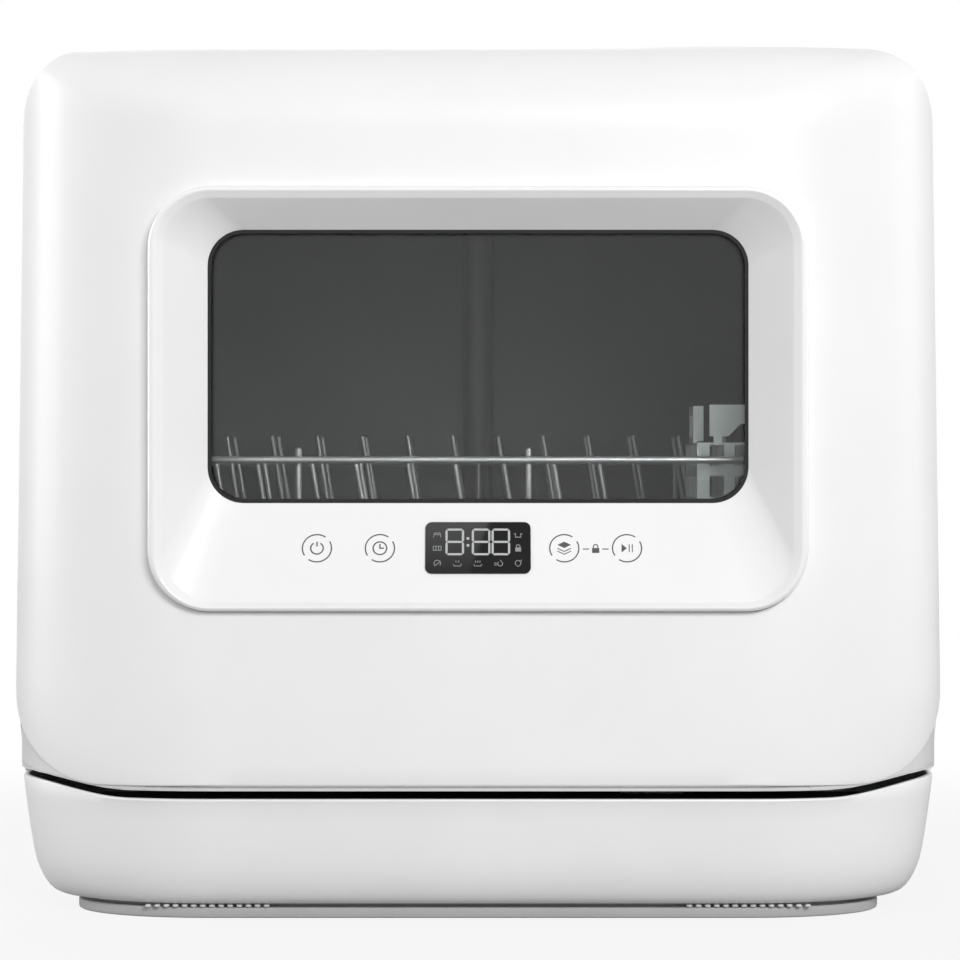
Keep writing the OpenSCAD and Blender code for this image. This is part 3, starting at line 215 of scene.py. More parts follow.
# The seam's height in the middle, how much it rises, and from where and over how far sideways.
SEAM_Z, SEAM_RISE, RISE_FROM, RISE_OVER = 57.0, 6.0, 160, 52
REAR_CORNER = 8


def plan(half, inset, front, steps=30):
    """Plan outline of the base, from the front middle round the right side to the back, and mirrored."""
    right = [(f * (half - CORNER_W), front + inset) for f in (0, 0.25, 0.5, 0.75)]
    for i in range(steps + 1):
        a = math.pi / 2 * i / steps
        right.append((half - CORNER_W + (CORNER_W - inset) * math.sin(a),
                      front + inset + (CURVE - inset) * (1 - math.cos(a))))
    side_y, side_end = right[-1][1], SHELL_BACK - inset - REAR_CORNER
    right += [(half - inset, side_y + (side_end - side_y) * i / 8) for i in range(1, 9)]
    for i in range(1, 7):
        a = math.pi / 2 * i / 6
        right.append((half - inset - REAR_CORNER * (1 - math.cos(a)), side_end + REAR_CORNER * math.sin(a)))
    return right + [(-x, y) for x, y in reversed(right[1:])]


def rise(x):
    """How much the seam has risen at x."""
    s = min(1.0, max(0.0, (abs(x) - RISE_FROM) / RISE_OVER))
    return SEAM_RISE * s * s * (3 - 2 * s)


def lip(x, y):
    """Height of the base's rim at a point of its plan: it follows the seam in front of the shell."""
    return SEAM_Z + rise(x) if y < -140 else SHELL_LOW


BASE_HALF = half_w(DOOR_LOW) + 1.6
BASE_FRONT = FACE_Y + 0.4
PLINTH_FRONT, PLINTH_INSET = FRONT_Y - 4, 31
# Height and inset of the bowl outside, drop below the lip and inset round it, height and inset inside.
bowl = [(7.0, 24.0), (7.0, 21.0), (7.5, 18.4), (8.6, 16.0), (10.4, 13.9), (12.8, 12.1), (15.6, 10.5),
        (19, 9.0), (23, 7.6), (29, 6.3), (37, 5.0), (46, 3.7), (54, 2.6)]
rim = [(0.9, 1.7), (0.25, 1.9), (0.0, 2.4), (0.0, 4.0), (0.4, 4.5), (8.0, 5.6)]
inside = [(37, 8.0), (13.0, 14.6), (12.0, 18.0)]
rings = [[(x, y, z) for x, y in plan(BASE_HALF, inset, BASE_FRONT)] for z, inset in bowl]
rings += [[(x, y, lip(x, y) - drop) for x, y in plan(BASE_HALF, inset, BASE_FRONT)] for drop, inset in rim]
rings += [[(x, y, z) for x, y in plan(BASE_HALF, inset, BASE_FRONT)] for z, inset in inside]
count = len(rings[0])
faces = ring_quads(len(rings), count)
faces.append(tuple(reversed(range(count))))
faces.append(tuple(range((len(rings) - 1) * count, len(rings) * count)))
base = make_piece("base_skin", [p for r in rings for p in r], faces, white_shell)
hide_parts("base_housing")
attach(base, "cabinet")

# The plinth's foot and wall, the shadow groove above it, and the inside back down.
levels = [(0.3, 1.0), (0.7, 0.3), (1.4, 0.0), (4.7, 0.0), (5.1, 0.5), (5.1, 7.0), (6.9, 7.0), (6.9, 10.0),
          (3.6, 10.0), (3.6, 3.0), (0.3, 3.0)]
rings = [[(x, y, z) for x, y in plan(BODY_W / 2, PLINTH_INSET + inset, PLINTH_FRONT)] for z, inset in levels]
faces = ring_quads(len(rings), len(rings[0]), closed_set=True)
# Moulded ABS in the shade under the bowl, matt. Its good deal greyer colour than the shell is painted shade:
# the shadow that falls under the bowl, put into the colour.
plinth_painted_shade = make_material("Pale grey ABS plinth, shade painted in", "bcbcbc", "b2b2b2", 0.5, 0.6, bump=0.015)
plinth = make_piece("plinth_skin", [p for r in rings for p in r], faces, plinth_painted_shade)
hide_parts("plinth")
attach(plinth, "cabinet")


def new_tree(name, inputs):
    """An empty Geometry Nodes tree with named inputs, and its group input and output nodes."""
    tree = bpy.data.node_groups.new(name, "GeometryNodeTree")
    tree.interface.new_socket("Geometry", in_out="INPUT", socket_type="NodeSocketGeometry")
    tree.interface.new_socket("Geometry", in_out="OUTPUT", socket_type="NodeSocketGeometry")
    for label, kind in inputs:
        tree.interface.new_socket(label, in_out="INPUT", socket_type="NodeSocket" + kind)
    return tree, tree.nodes.new("NodeGroupInput"), tree.nodes.new("NodeGroupOutput")


def grow(name, source, tree, values):
    """A plain mesh piece that a tree makes of a source mesh, the tree's inputs set by identifier."""
    carrier = bpy.data.objects.new(name + "_source", source)
    bpy.context.scene.collection.objects.link(carrier)
    modifier = carrier.modifiers.new("Grow", "NODES")
    modifier.node_group = tree
    for item in tree.interface.items_tree:
        if item.in_out == "INPUT" and item.name in values:
            modifier[item.identifier] = values[item.name]
    bpy.context.view_layer.update()
    graph = bpy.context.evaluated_depsgraph_get()
    mesh = bpy.data.meshes.new_from_object(carrier.evaluated_get(graph))
    mesh.name = name
    bpy.data.objects.remove(carrier)
    piece = bpy.data.objects.new(name, mesh)
    bpy.context.scene.collection.objects.link(piece)
    return piece


def bead_tree():
    """Rounded beads of a given size on every point."""
    tree, enter, leave = new_tree("Beads on points", [("Size", "Vector"), ("Material", "Material")])
    nodes, links = tree.nodes, tree.links
    ball = nodes.new("GeometryNodeMeshUVSphere")
    ball.inputs["Segments"].default_value = 16
    ball.inputs["Rings"].default_value = 10
    ball.inputs["Radius"].default_value = 0.5
    place = nodes.new("GeometryNodeInstanceOnPoints")
    real = nodes.new("GeometryNodeRealizeInstances")
    smooth = nodes.new("GeometryNodeSetShadeSmooth")
    paint = nodes.new("GeometryNodeSetMaterial")
    links.new(enter.outputs["Geometry"], place.inputs["Points"])
    links.new(ball.outputs["Mesh"], place.inputs["Instance"])
    links.new(enter.outputs["Size"], place.inputs["Scale"])
    links.new(place.outputs["Instances"], real.inputs["Geometry"])
    links.new(real.outputs["Geometry"], smooth.inputs["Geometry"])
    links.new(smooth.outputs["Geometry"], paint.inputs["Geometry"])
    links.new(enter.outputs["Material"], paint.inputs["Material"])
    links.new(paint.outputs["Geometry"], leave.inputs["Geometry"])
    return tree


# Fourteen ribs a side stand in the groove above the plinth, counted inwards from the outmost.
RIBS, RIB_PITCH, RIB_OUTMOST, RIB_Z = 14, 4.2, 152, 6.0
RIB_SIZE = (3.0 * MM, 3.4 * MM, 1.6 * MM)
rib_y = PLINTH_FRONT + PLINTH_INSET + 0.6
spots = [(side * (RIB_OUTMOST - i * RIB_PITCH), rib_y, RIB_Z) for side in (-1, 1) for i in range(RIBS)]
points = bpy.data.meshes.new("vent_points")
points.from_pydata([(x * MM, y * MM, z * MM) for x, y, z in spots], [], [])
vent_white = make_material("White ABS vent rib", "dadada", "cecece", 0.45, 0.5)
vents = grow("vent_ribs", points, bead_tree(), {"Size": RIB_SIZE, "Material": vent_white})
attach(vents, "cabinet")

# ---- Door face ----
# The door's outer panel is one large white moulding: flat in the middle, its sides turned back to the
# parting plane in wide round corners, its top rolled over and its lower corners cut round.

# The face's lower edge and the radius of its lower corners.
FACE_LOW, LOW_R = 62.6, 46.0
# The bezel's outline, which the face closes round; the gap to it; the depth of the face's rounded lower
# edge; its wall; the angle at which the flat middle ends.
RIM_HALF, RIM_LOW, RIM_HIGH, RIM_R = 149.6, 142.6, 335.2, 28.0
RIM_GAP, EDGE, FACE_WALL = 0.1, 2.2, 3.0
FIRST_TURN = 20


def face_half(half_low, half_high, low, high, r_low, r_high, steps=20):
    """Right half of a ring of the face as [x, z, share of top, share of bottom]."""
    bottom = [(f * (half_low - r_low), low, 0.0, 1.0) for f in (0, 0.2, 0.4, 0.55, 0.7, 0.82, 0.92)]
    corner = []
    for i in range(steps + 1):
        a = math.pi / 2 * (i / steps - 1)
        corner.append((half_low - r_low + r_low * math.cos(a), low + r_low + r_low * math.sin(a),
                       0.0, math.sin(a) ** 2))
    side = [(half_low + f * (half_high - half_low), low + r_low + f * (high - r_high - low - r_low), 0.0, 0.0)
            for f in (0.1, 0.25, 0.4, 0.55, 0.7, 0.85, 0.95)]
    top_corner = []
    for i in range(steps + 1):
        a = math.pi / 2 * i / steps
        top_corner.append((half_high - r_high + r_high * math.cos(a), high - r_high + r_high * math.sin(a),
                           math.sin(a) ** 2, 0.0))
    top = [(f * (half_high - r_high), high, 1.0, 0.0) for f in (0.92, 0.82, 0.7, 0.55, 0.4, 0.2, 0)]
    return bottom + corner + side + top_corner + top


def both_halves(points):
    """Adds the mirrored left half to a right half."""
    return points + [(-x, y, z) for x, y, z in reversed(points[1:-1])]


def side_slope(x, z):
    """Angle by which the face has turned to the side at x and z."""
    return math.asin(min(1.0, max(0.0, (abs(x) - half_w(z) + CORNER_W) / CORNER_W)))


def top_slope(z):
    """Angle by which the face has turned upwards at z."""
    return math.asin(min(1.0, max(0.0, (z - BODY_H + TOP_R) / TOP_R)))


def face_point(p, edge=0.0, sink=0.0):
    """A point of the face; edge is the depth of the lower edge's rounding, sink moves it inwards."""
    x, z, upper, lower = p
    a, b = side_slope(x, z), upper * top_slope(z)
    u = CURVE * (1 - math.cos(a))
    t = upper * TOP_R * (1 - math.cos(top_slope(z))) + lower * edge
    y = FACE_Y + CURVE - (CURVE - u) * (CURVE - t) / CURVE
    return (x - math.copysign(sink * math.sin(a), x), y + sink * math.cos(a) * math.cos(b),
            z - sink * math.cos(a) * math.sin(b))


def face_ring(values, edge=0.0, sink=0.0):
    """A whole ring of the face from the outline's half widths, heights and radii."""
    return both_halves([face_point(p, edge, sink) for p in face_half(*values)])


def face_level(a, edge):
    """Outline of the face where it has turned by the angle a, in degrees."""
    k = 1 - math.sin(math.radians(a))
    return (half_w(FACE_LOW + LOW_R) - CORNER_W * k, half_w(BODY_H - TOP_R) - CORNER_W * k,
            FACE_LOW + edge * k, BODY_H - TOP_R * k, LOW_R, TOP_R)


hole = (RIM_HALF + RIM_GAP, RIM_HALF + RIM_GAP, RIM_LOW - RIM_GAP, RIM_HIGH + RIM_GAP, RIM_R, RIM_R)
# The outer side, from the hole's rounded edge over the flat middle and round to the parting plane.
first = face_level(FIRST_TURN, EDGE)
rings = [[(x, y + 1.2, z) for x, y, z in face_ring(hole)]]
for f in (0.006, 0.05, 0.12, 0.2, 0.3, 0.4, 0.5, 0.6, 0.7, 0.8, 0.9):
    rings.append(face_ring([h + f * (v - h) for h, v in zip(hole, first)]))
for a in [FIRST_TURN + 3.5 * i for i in range(20)] + [88.5, 90]:
    rings.append(face_ring(face_level(a, EDGE), EDGE * (1 - math.cos(math.radians(a)))))
# The edge: broken by half a millimetre where it meets the parting plane, thin along the bottom.
last = face_half(*face_level(90, EDGE))
back = []
for p in last:
    x, y, z = face_point(p, EDGE)
    back.append((x, y + 0.5 + (PART_Y - y - 0.5) * (p[3] == 0), z))
rings.append(both_halves([(x, y - 0.5 if y > PART_Y - 1 else y, z) for x, y, z in back]))
rings.append(both_halves([(x - math.copysign(0.5, x) * (y > PART_Y - 1), y, z) for x, y, z in back]))
under = [face_point(p, 0.0 if p[3] > 0 else EDGE, FACE_WALL) for p in last]
rings.append(both_halves([(u[0], max(b[1], (b[1] + u[1]) / 2), u[2]) for u, b in zip(under, back)]))
# The inner side, back to the hole.
for a in (90, 78, 66, 54, 42, 30):
    rings.append(face_ring(face_level(a, EDGE), 0.0, FACE_WALL))
rings.append([(x, y + 2.9, z) for x, y, z in face_ring(hole)])
faces = ring_quads(len(rings), len(rings[0]), closed_set=True)
panel = make_piece("door_skin", [p for r in rings for p in r], faces, white_shell, sharp=40)
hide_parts("door_outer_panel")
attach(panel, "door")

# ---- Door inner frame ----
# Behind the face a second moulding closes the door. Only its round flanks show, as the two darker
# crescents under the face's lower corners; the rest lies behind the face and stays as built in CAD.

# The same ABS, satin like the face. Its slightly greyer white is painted shade, part of the darkness of the
# two crescents under the face's lower corners; the lamps give the rest.
flank_painted_shade = make_material("White ABS inner door frame, shade painted in", "dcdcdc", "d2d2d2", 0.42, 0.6, bump=0.012)
half = half_w(FACE_LOW + 6) - 0.7
skirt_front = FACE_Y + 3.0
skirt_deep = PART_Y - 3.0 - skirt_front
corner_x, corner_z = half_w(FACE_LOW + LOW_R) - LOW_R, FACE_LOW + LOW_R
COLUMNS, ROWS = 41, 14
FLANK_WALL, HEM = 0.8, 0.7


def panel_edge(x):
    """Height of the face's lower edge at x."""
    d = min(LOW_R - 0.01, max(0.0, abs(x) - corner_x))
    return corner_z - math.sqrt(LOW_R ** 2 - d ** 2)


for sign in (1, -1):
    # Columns go round the corner; each runs from the seam up to just behind the face's edge.
    columns = []
    for i in range(COLUMNS):
        a = math.pi / 2 * (0.2 + 0.8 * i / (COLUMNS - 1))
        x = half - CORNER_W + (CORNER_W + 0.1) * math.sin(a)
        y = skirt_front + skirt_deep - (skirt_deep + 0.1) * math.cos(a)
        bottom = DOOR_LOW + rise(x) - 0.05
        top = max(bottom + 0.6, panel_edge(x) + 1.5)
        columns.append((x, y, a, bottom, top))
    points = []
    for layer in (0.0, FLANK_WALL):
        for x, y, a, bottom, top in columns:
            for k in range(ROWS):
                z = bottom + (top - bottom) * k / (ROWS - 1)
                curl = 0.0 if layer else HEM * max(0.0, 1 - (z - bottom) / HEM) ** 2
                deep = layer + curl
                points.append((sign * (x - deep * math.sin(a)), y + deep * math.cos(a), z))
    behind = COLUMNS * ROWS
    faces = []
    for i in range(COLUMNS - 1):
        for k in range(ROWS - 1):
            a = i * ROWS + k
            quad = (a, a + ROWS, a + ROWS + 1, a + 1)
            deep = tuple(v + behind for v in quad)
            faces.append(quad if sign > 0 else tuple(reversed(quad)))
            faces.append(tuple(reversed(deep)) if sign > 0 else deep)
    edge = [i * ROWS for i in range(COLUMNS)] + [(COLUMNS - 1) * ROWS + k for k in range(1, ROWS)]
    edge += [i * ROWS + ROWS - 1 for i in range(COLUMNS - 2, -1, -1)] + list(range(ROWS - 2, 0, -1))
    for i, v in enumerate(edge):
        w = edge[(i + 1) % len(edge)]
        quad = (v, v + behind, w + behind, w)
        faces.append(quad if sign > 0 else tuple(reversed(quad)))
    flank = make_piece("door_flank_" + ("right" if sign > 0 else "left"), points, faces, flank_painted_shade)
    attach(flank, "door")

# ---- Window frame and control panel ----
# A glossy white bezel stands proud of the face round the window. Inside its rounded rim it falls back
# like a funnel to the glass; the long lower slope of that funnel is the control panel.


def rect_ring(half_x, low, high, r, y, steps=16):
    """A rounded rectangle at depth y, against the clock seen from the front."""
    points = []
    for c in range(4):
        for i in range(steps + 1):
            a = math.pi / 2 * (c - 1 + i / steps)
            cx = (half_x - r) * (1 if c in (0, 1) else -1)
            cz = low + r if c in (0, 3) else high - r
            points.append((cx + r * math.cos(a), y, cz + r * math.sin(a)))
    return points


# Half width, lower edge, upper edge and corner radius of the visible glass, and its depth.
GLASS_HALF, GLASS_LOW, GLASS_HIGH, GLASS_R, GLASS_Y = 124.0, 191.5, 316.8, 16.5, FRONT_Y + 22.0
# The rim's section: how far in at the sides, the bottom and the top, and how deep. A rounded crest,
# then a flat bevel of about three millimetres, which shows as a grey band over the window.
section = [(0, 0, 0, 15), (0, 0, 0, 3.2), (0.08, 0.06, 0.07, 2.2), (0.35, 0.25, 0.3, 1.4),
           (0.9, 0.6, 0.8, 0.75), (1.6, 1.0, 1.3, 0.25), (2.3, 1.35, 1.8, 0.04), (2.8, 1.6, 2.1, 0.0),
           (3.2, 1.85, 2.35, 0.1), (3.7, 2.15, 2.7, 0.36), (4.9, 2.85, 3.7, 1.12), (6.1, 3.55, 4.7, 1.88),
           (6.5, 3.8, 5.05, 2.12), (6.9, 4.0, 5.4, 2.4)]
rings = [rect_ring(RIM_HALF - s, RIM_LOW + b, RIM_HIGH - t, RIM_R - s * 0.85, FRONT_Y + d)
         for s, b, t, d in section]
mouth = (RIM_HALF - 6.9, RIM_LOW + 4.0, RIM_HIGH - 5.4, RIM_R - 5.9, FRONT_Y + 2.4)
throat = (GLASS_HALF, GLASS_LOW, GLASS_HIGH, GLASS_R, GLASS_Y - 1.6)
for f in (0.03, 0.12, 0.3, 0.5, 0.7, 0.88, 0.97, 1.0):
    rings.append(rect_ring(*[p + f * (q - p) for p, q in zip(mouth, throat)]))
# The land on which the glass lies, and the back of the rim.
rings += [rect_ring(GLASS_HALF, GLASS_LOW, GLASS_HIGH, GLASS_R, GLASS_Y),
          rect_ring(GLASS_HALF + 4, GLASS_LOW - 4, GLASS_HIGH + 4, GLASS_R + 3, GLASS_Y)]
for y in (FRONT_Y + 5.4, FACE_Y + 9):
    rings.append(rect_ring(RIM_HALF - 3, RIM_LOW + 3, RIM_HIGH - 3, RIM_R - 2.5, y))
faces = [tuple(reversed(f)) for f in ring_quads(len(rings), len(rings[0]), closed_set=True)]
# ABS from a polished tool: glossier and smoother than the shell.
gloss_white = make_material("White ABS bezel, polished", "f8f8f8", "f2f2f2", 0.2, 0.5, bump=0.006, coat=0.3)
bezel = make_piece("bezel_skin", [p for r in rings for p in r], faces, gloss_white, sharp=28)
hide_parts("window_frame")
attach(bezel, "door")

# ---- Plastics, metals and rubber of the built-in parts ----
# Everything behind the glass and under the housing keeps its CAD shape and gets its real finish here:
# grey polypropylene tub and liner, dark arms and pumps, stainless strainer, plated hinges, black seals.


def paint(mat, *names):
    """Gives CAD nodes one material."""
    for name in names:
        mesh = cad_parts[name].data
        mesh.materials.clear()
        mesh.materials.append(mat)


# Moulded polypropylene is satin and faintly waxy, rubber is matt with a fine talc grain, and the metals
# show drawn or plated streaks; each grain is given in millimetres.
tub_grey = make_material("Grey polypropylene tub", "5d6062", "525557", 0.42, 0.8, bump=0.02)
liner_grey = make_material("Grey polypropylene door liner", "6c6f71", "606365", 0.45, 0.8, bump=0.02)
mid_grey = make_material("Mid grey polypropylene", "8b8f8e", "7d8180", 0.5, 0.9, bump=0.03)
dark_grey = make_material("Dark grey polypropylene", "3d4043", "33363a", 0.45, 0.9, bump=0.03)
black_rubber = make_material("Black EPDM rubber", "151515", "0b0b0b", 0.75, 0.4, bump=0.04)
grey_rubber = make_material("Grey EPDM rubber", "55585a", "484b4d", 0.7, 0.5, bump=0.04)
stainless = make_material("Brushed stainless steel", "c9c9c7", "b4b4b2", 0.32, 0.5, bump=0.01, metal=1.0,
                          stretch=(1.0, 14.0, 14.0))
plated = make_material("Zinc-plated steel", "c4c6c8", "a9acb0", 0.28, 1.5, bump=0.01, metal=1.0, patch_mm=12)
tank_white = make_material("Translucent polyethylene tank", "e3e7e6", "d6dbda", 0.5, 1.5, bump=0.03)
board_green = make_material("Solder-masked circuit board", "1f6b3f", "175633", 0.4, 2.0, bump=0.03)
wire_steel = make_material("Satin stainless wire", "c6c8c9", "b2b4b6", 0.34, 0.6, bump=0.008, metal=0.6,
                           stretch=(8.0, 8.0, 1.0))
# The same ABS as the shell, without its gloss.
white_trim = make_material("White ABS trim moulding", "ededed", "e4e4e4", 0.45, 0.6, bump=0.015)
paint(white_trim, "front_frame", "rear_panel", "fill_collar", "inlet_valve", "detergent_cup")
paint(white_shell, "fill_lid")
# Two flat plates close the open corners between the rear panel's round lower corners and the shell.
for side, name in ((1, "rear_corner_right"), (-1, "rear_corner_left")):
    near, far = sorted((side * 176, side * 212))
    plate = box_corners((near, 193.4, 61), (far, 194.9, 104))
    corner = make_piece(name, plate, BOX_SIDES, white_trim, smooth=False)
    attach(corner, "cabinet")
# The door frame gets the same greyer white, which is painted shade.
paint(flank_painted_shade, "door_frame")
paint(tub_grey, "tub")
paint(liner_grey, "door_liner")
holder_grey = make_material("Pale grey-green polypropylene", "d8e1dd", "ccd5d1", 0.48, 0.9, bump=0.03)
paint(holder_grey, "cutlery_basket")
paint(mid_grey, "filter_cup", "lower_arm_hub", "upper_arm_hub", "riser_pipe", "rack_rails", "rack_glides")
paint(dark_grey, "sump", "lower_spray_arm", "upper_spray_arm", "supply_pipe", "wash_pump", "drain_pump",
      "drain_outlet", "latch_housing")
# The seam strip is a black sheet in the gap under the door; its black is painted shade, and it makes that gap
# read dark.
paint(black_rubber, "rubber_feet", "seam_strip", "cord_gland", "window_gasket")
paint(grey_rubber, "tub_seal", "drain_hose", "tank_hose")
paint(stainless, "filter_plate", "heater")
paint(plated, "fill_lid_pin", "hinge_brackets", "hinge_pins", "door_striker", "hinge_blocks",
      "liner_screws", "frame_clips")
paint(tank_white, "water_tank")
paint(board_green, "power_board", "control_board")
paint(wire_steel, "rack_grid", "rack_walls", "rack_tines")

# ---- Glass ----
# Two panes of clear tempered glass: the outer one lies behind the bezel, the inner one closes the
# door's liner. A black gasket line, about one millimetre wide, frames the outer pane.

# Float glass is clear and almost mirror-smooth; its IOR is set low, so that the pane mirrors little.
pane = make_material("Clear tempered glass", "ffffff", "fafcfb", 0.03, 3.0, spread=0.01)
glass_bsdf = pane.node_tree.nodes["Principled BSDF"]
glass_bsdf.inputs["Transmission Weight"].default_value = 1.0
glass_bsdf.inputs["IOR"].default_value = 1.25
paint(pane, "window_glass", "inner_pane")

# Cast acrylic, nearly black and mirror-smooth, which gives the display its soft glare.
lens_black = make_material("Black acrylic display lens", "0a0a0c", "060607", 0.025, 0.8, spread=0.005)
lens_black.node_tree.nodes["Principled BSDF"].inputs["Specular IOR Level"].default_value = 0.25
paint(lens_black, "display_lens")

# ---- Sliding rack ----
# The rack is welded from satin stainless wire: a rail and a lower loop with bent corners, posts behind the
# front rail, a floor grid, and four rows of leaning tines with rounded tips.


def wire_tree():
    """Round wire of a given radius along every edge path, its corners bent and its ends rounded."""
    tree, enter, leave = new_tree(
        "Wire along paths", [("Radius", "Float"), ("Bend", "Float"), ("Material", "Material")])
    nodes, links = tree.nodes, tree.links
    curve = nodes.new("GeometryNodeMeshToCurve")
    bend = nodes.new("GeometryNodeFilletCurve")
    bend.mode = "POLY"
    bend.inputs["Count"].default_value = 6
    ring = nodes.new("GeometryNodeCurvePrimitiveCircle")
    ring.inputs["Resolution"].default_value = 14
    sweep = nodes.new("GeometryNodeCurveToMesh")
    ends = nodes.new("GeometryNodeCurveEndpointSelection")
    ball = nodes.new("GeometryNodeMeshUVSphere")
    ball.inputs["Segments"].default_value = 14
    ball.inputs["Rings"].default_value = 8
    tips = nodes.new("GeometryNodeInstanceOnPoints")
    real = nodes.new("GeometryNodeRealizeInstances")
    join = nodes.new("GeometryNodeJoinGeometry")
    smooth = nodes.new("GeometryNodeSetShadeSmooth")
    paint = nodes.new("GeometryNodeSetMaterial")
    links.new(enter.outputs["Geometry"], curve.inputs["Mesh"])
    links.new(curve.outputs["Curve"], bend.inputs["Curve"])
    links.new(enter.outputs["Bend"], bend.inputs["Radius"])
    links.new(enter.outputs["Radius"], ring.inputs["Radius"])
    links.new(enter.outputs["Radius"], ball.inputs["Radius"])
    links.new(bend.outputs["Curve"], sweep.inputs["Curve"])
    links.new(ring.outputs["Curve"], sweep.inputs["Profile Curve"])
    links.new(curve.outputs["Curve"], tips.inputs["Points"])
    links.new(ends.outputs["Selection"], tips.inputs["Selection"])
    links.new(ball.outputs["Mesh"], tips.inputs["Instance"])
    links.new(tips.outputs["Instances"], real.inputs["Geometry"])
    links.new(sweep.outputs["Mesh"], join.inputs["Geometry"])
    links.new(real.outputs["Geometry"], join.inputs["Geometry"])
    links.new(join.outputs["Geometry"], smooth.inputs["Geometry"])
    links.new(smooth.outputs["Geometry"], paint.inputs["Geometry"])
    links.new(enter.outputs["Material"], paint.inputs["Material"])
    links.new(paint.outputs["Geometry"], leave.inputs["Geometry"])
    return tree


def path_mesh(name, paths):
    """A mesh of bare edges from lists of points in millimetres; a closed path repeats its first point."""
    points, edges = [], []
    for path in paths:
        first = len(points)
        closed = path[0] == path[-1]
        body = path[:-1] if closed else path
        points += [(x * MM, y * MM, z * MM) for x, y, z in body]
        edges += [(first + i, first + i + 1) for i in range(len(body) - 1)]
        if closed:
            edges.append((first + len(body) - 1, first))
    mesh = bpy.data.meshes.new(name)
    mesh.from_pydata(points, edges, [])
    return mesh


def wires(name, paths, radius, bend, *stands_for):
    """Wire of that radius along the paths, shown in place of CAD nodes of the rack."""
    piece = grow(name, path_mesh(name + "_paths", paths), WIRE,
                 {"Radius": radius * MM, "Bend": bend * MM, "Material": wire_steel})
    if stands_for:
        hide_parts(*stands_for)
    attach(piece, "rack")
    return piece


WIRE = wire_tree()
RACK_HALF, RACK_FRONT, RACK_BACK, RACK_LOW, RAIL_Z = 168.0, -150.0, 120.0, 150.0, 211.6
RAIL_WIRE, POST_WIRE, GRID_WIRE, TINE_WIRE = 1.75, 1.65, 1.4, 1.35
LOOP_BEND = 14
LOOP_LOW, TINE_LOW = RACK_LOW + 2.8 + 1.75, RACK_LOW + 4.2
FRONT_POSTS, BACK_POSTS, SIDE_POSTS = (-150, -85, 24, 133), (-110, 0, 110), (-100, -15, 40)
LEAN = 0.16
# Place, left end, right end, pitch and height of each row of tines.
TINE_ROWS = [(-110, -150, 86, 48, 56), (-63, -150, 86, 24, 60),
             (30, -150, 150, 24, 72), (78, -150, 150, 24, 72)]

square = [(-RACK_HALF, RACK_FRONT), (RACK_HALF, RACK_FRONT), (RACK_HALF, RACK_BACK), (-RACK_HALF, RACK_BACK)]
loops = [[(x, y, z) for x, y in square + square[:1]] for z in (LOOP_LOW, RAIL_Z)]
wires("rack_loops", loops, RAIL_WIRE, LOOP_BEND, "rack_walls")

# The posts stand just inside the loops, and those at the front and back end above the rail.
inner = 2.9
front, back, side = RACK_FRONT + inner, RACK_BACK - inner, RACK_HALF - inner
posts = [[(x, front, LOOP_LOW), (x, front, RAIL_Z + 4.5)] for x in FRONT_POSTS]
posts += [[(x, back, LOOP_LOW), (x, back, RAIL_Z + 1.5)] for x in BACK_POSTS]
posts += [[(s * side, y, LOOP_LOW), (s * side, y, RAIL_Z)] for s in (-1, 1) for y in SIDE_POSTS]
wires("rack_posts", posts, POST_WIRE, 0)

# Thirteen wires run from front to back under six that cross them.
low = RACK_LOW + GRID_WIRE
grid = [[(x, RACK_FRONT, low), (x, RACK_BACK, low)] for x in range(-162, 163, 27)]
grid += [[(-166.2, y, TINE_LOW), (166.2, y, TINE_LOW)] for y in (RACK_FRONT + 16 + 47 * i for i in range(6))]
wires("rack_floor", grid, GRID_WIRE, 0, "rack_grid")

tines = []
for y, left, right, pitch, high in TINE_ROWS:
    tines.append([(left, y, TINE_LOW), (right, y, TINE_LOW)])
    for i in range(int((right - left - 8) // pitch) + 1):
        x = left + 4 + i * pitch
        tines.append([(x, y, TINE_LOW), (x - LEAN * high, y, TINE_LOW + high - 1.3)])
wires("rack_tine_rows", tines, TINE_WIRE, 0, "rack_tines")

# ---- Printed keys and display ----
# Four touch keys are printed in grey ink on the panel's slope, each a plain icon in a broken ring; a small
# padlock stands between the right two. The display shows three lit digits and a ring of small signs.

# The slope rises 44.9 mm while it goes back 18 mm; the keys' middles stand at 171 mm.
SLOPE_BACK, SLOPE_UP, KEY_Z = 18.0, 44.9, 171.0
SLOPE = math.atan2(SLOPE_BACK, SLOPE_UP)
SLOPE_Y = FRONT_Y + 2.4 + SLOPE_BACK * (KEY_Z - 146.6) / SLOPE_UP


def on_panel(u, v, w):
    """A point of the slope: u to the right, v up along it, w out of it; millimetres."""
    y = SLOPE_Y + v * math.sin(SLOPE) - w * math.cos(SLOPE)
    return (u, y, KEY_Z + v * math.cos(SLOPE) + w * math.sin(SLOPE))


def ribbon(points, width, closed=False):
    """The outline of a flat stroke along points, as pairs of left and right edge points."""
    n = len(points)
    pairs = []
    for i, p in enumerate(points):
        a = points[i - 1] if i or closed else p
        b = points[(i + 1) % n] if i < n - 1 or closed else p
        d1 = Vector((p[0] - a[0], p[1] - a[1]))
        d2 = Vector((b[0] - p[0], b[1] - p[1]))
        d1 = d2 if d1.length < 1e-6 else d1
        d2 = d1 if d2.length < 1e-6 else d2
        side = Vector((-d1.y, d1.x)).normalized() + Vector((-d2.y, d2.x)).normalized()
        # The limit keeps a sharp corner from growing a long spike.
        half = width / max(side.length_squared, 0.6)
        dx, dy = side.x * half, side.y * half
        pairs.append(((p[0] + dx, p[1] + dy), (p[0] - dx, p[1] - dy)))
    return pairs


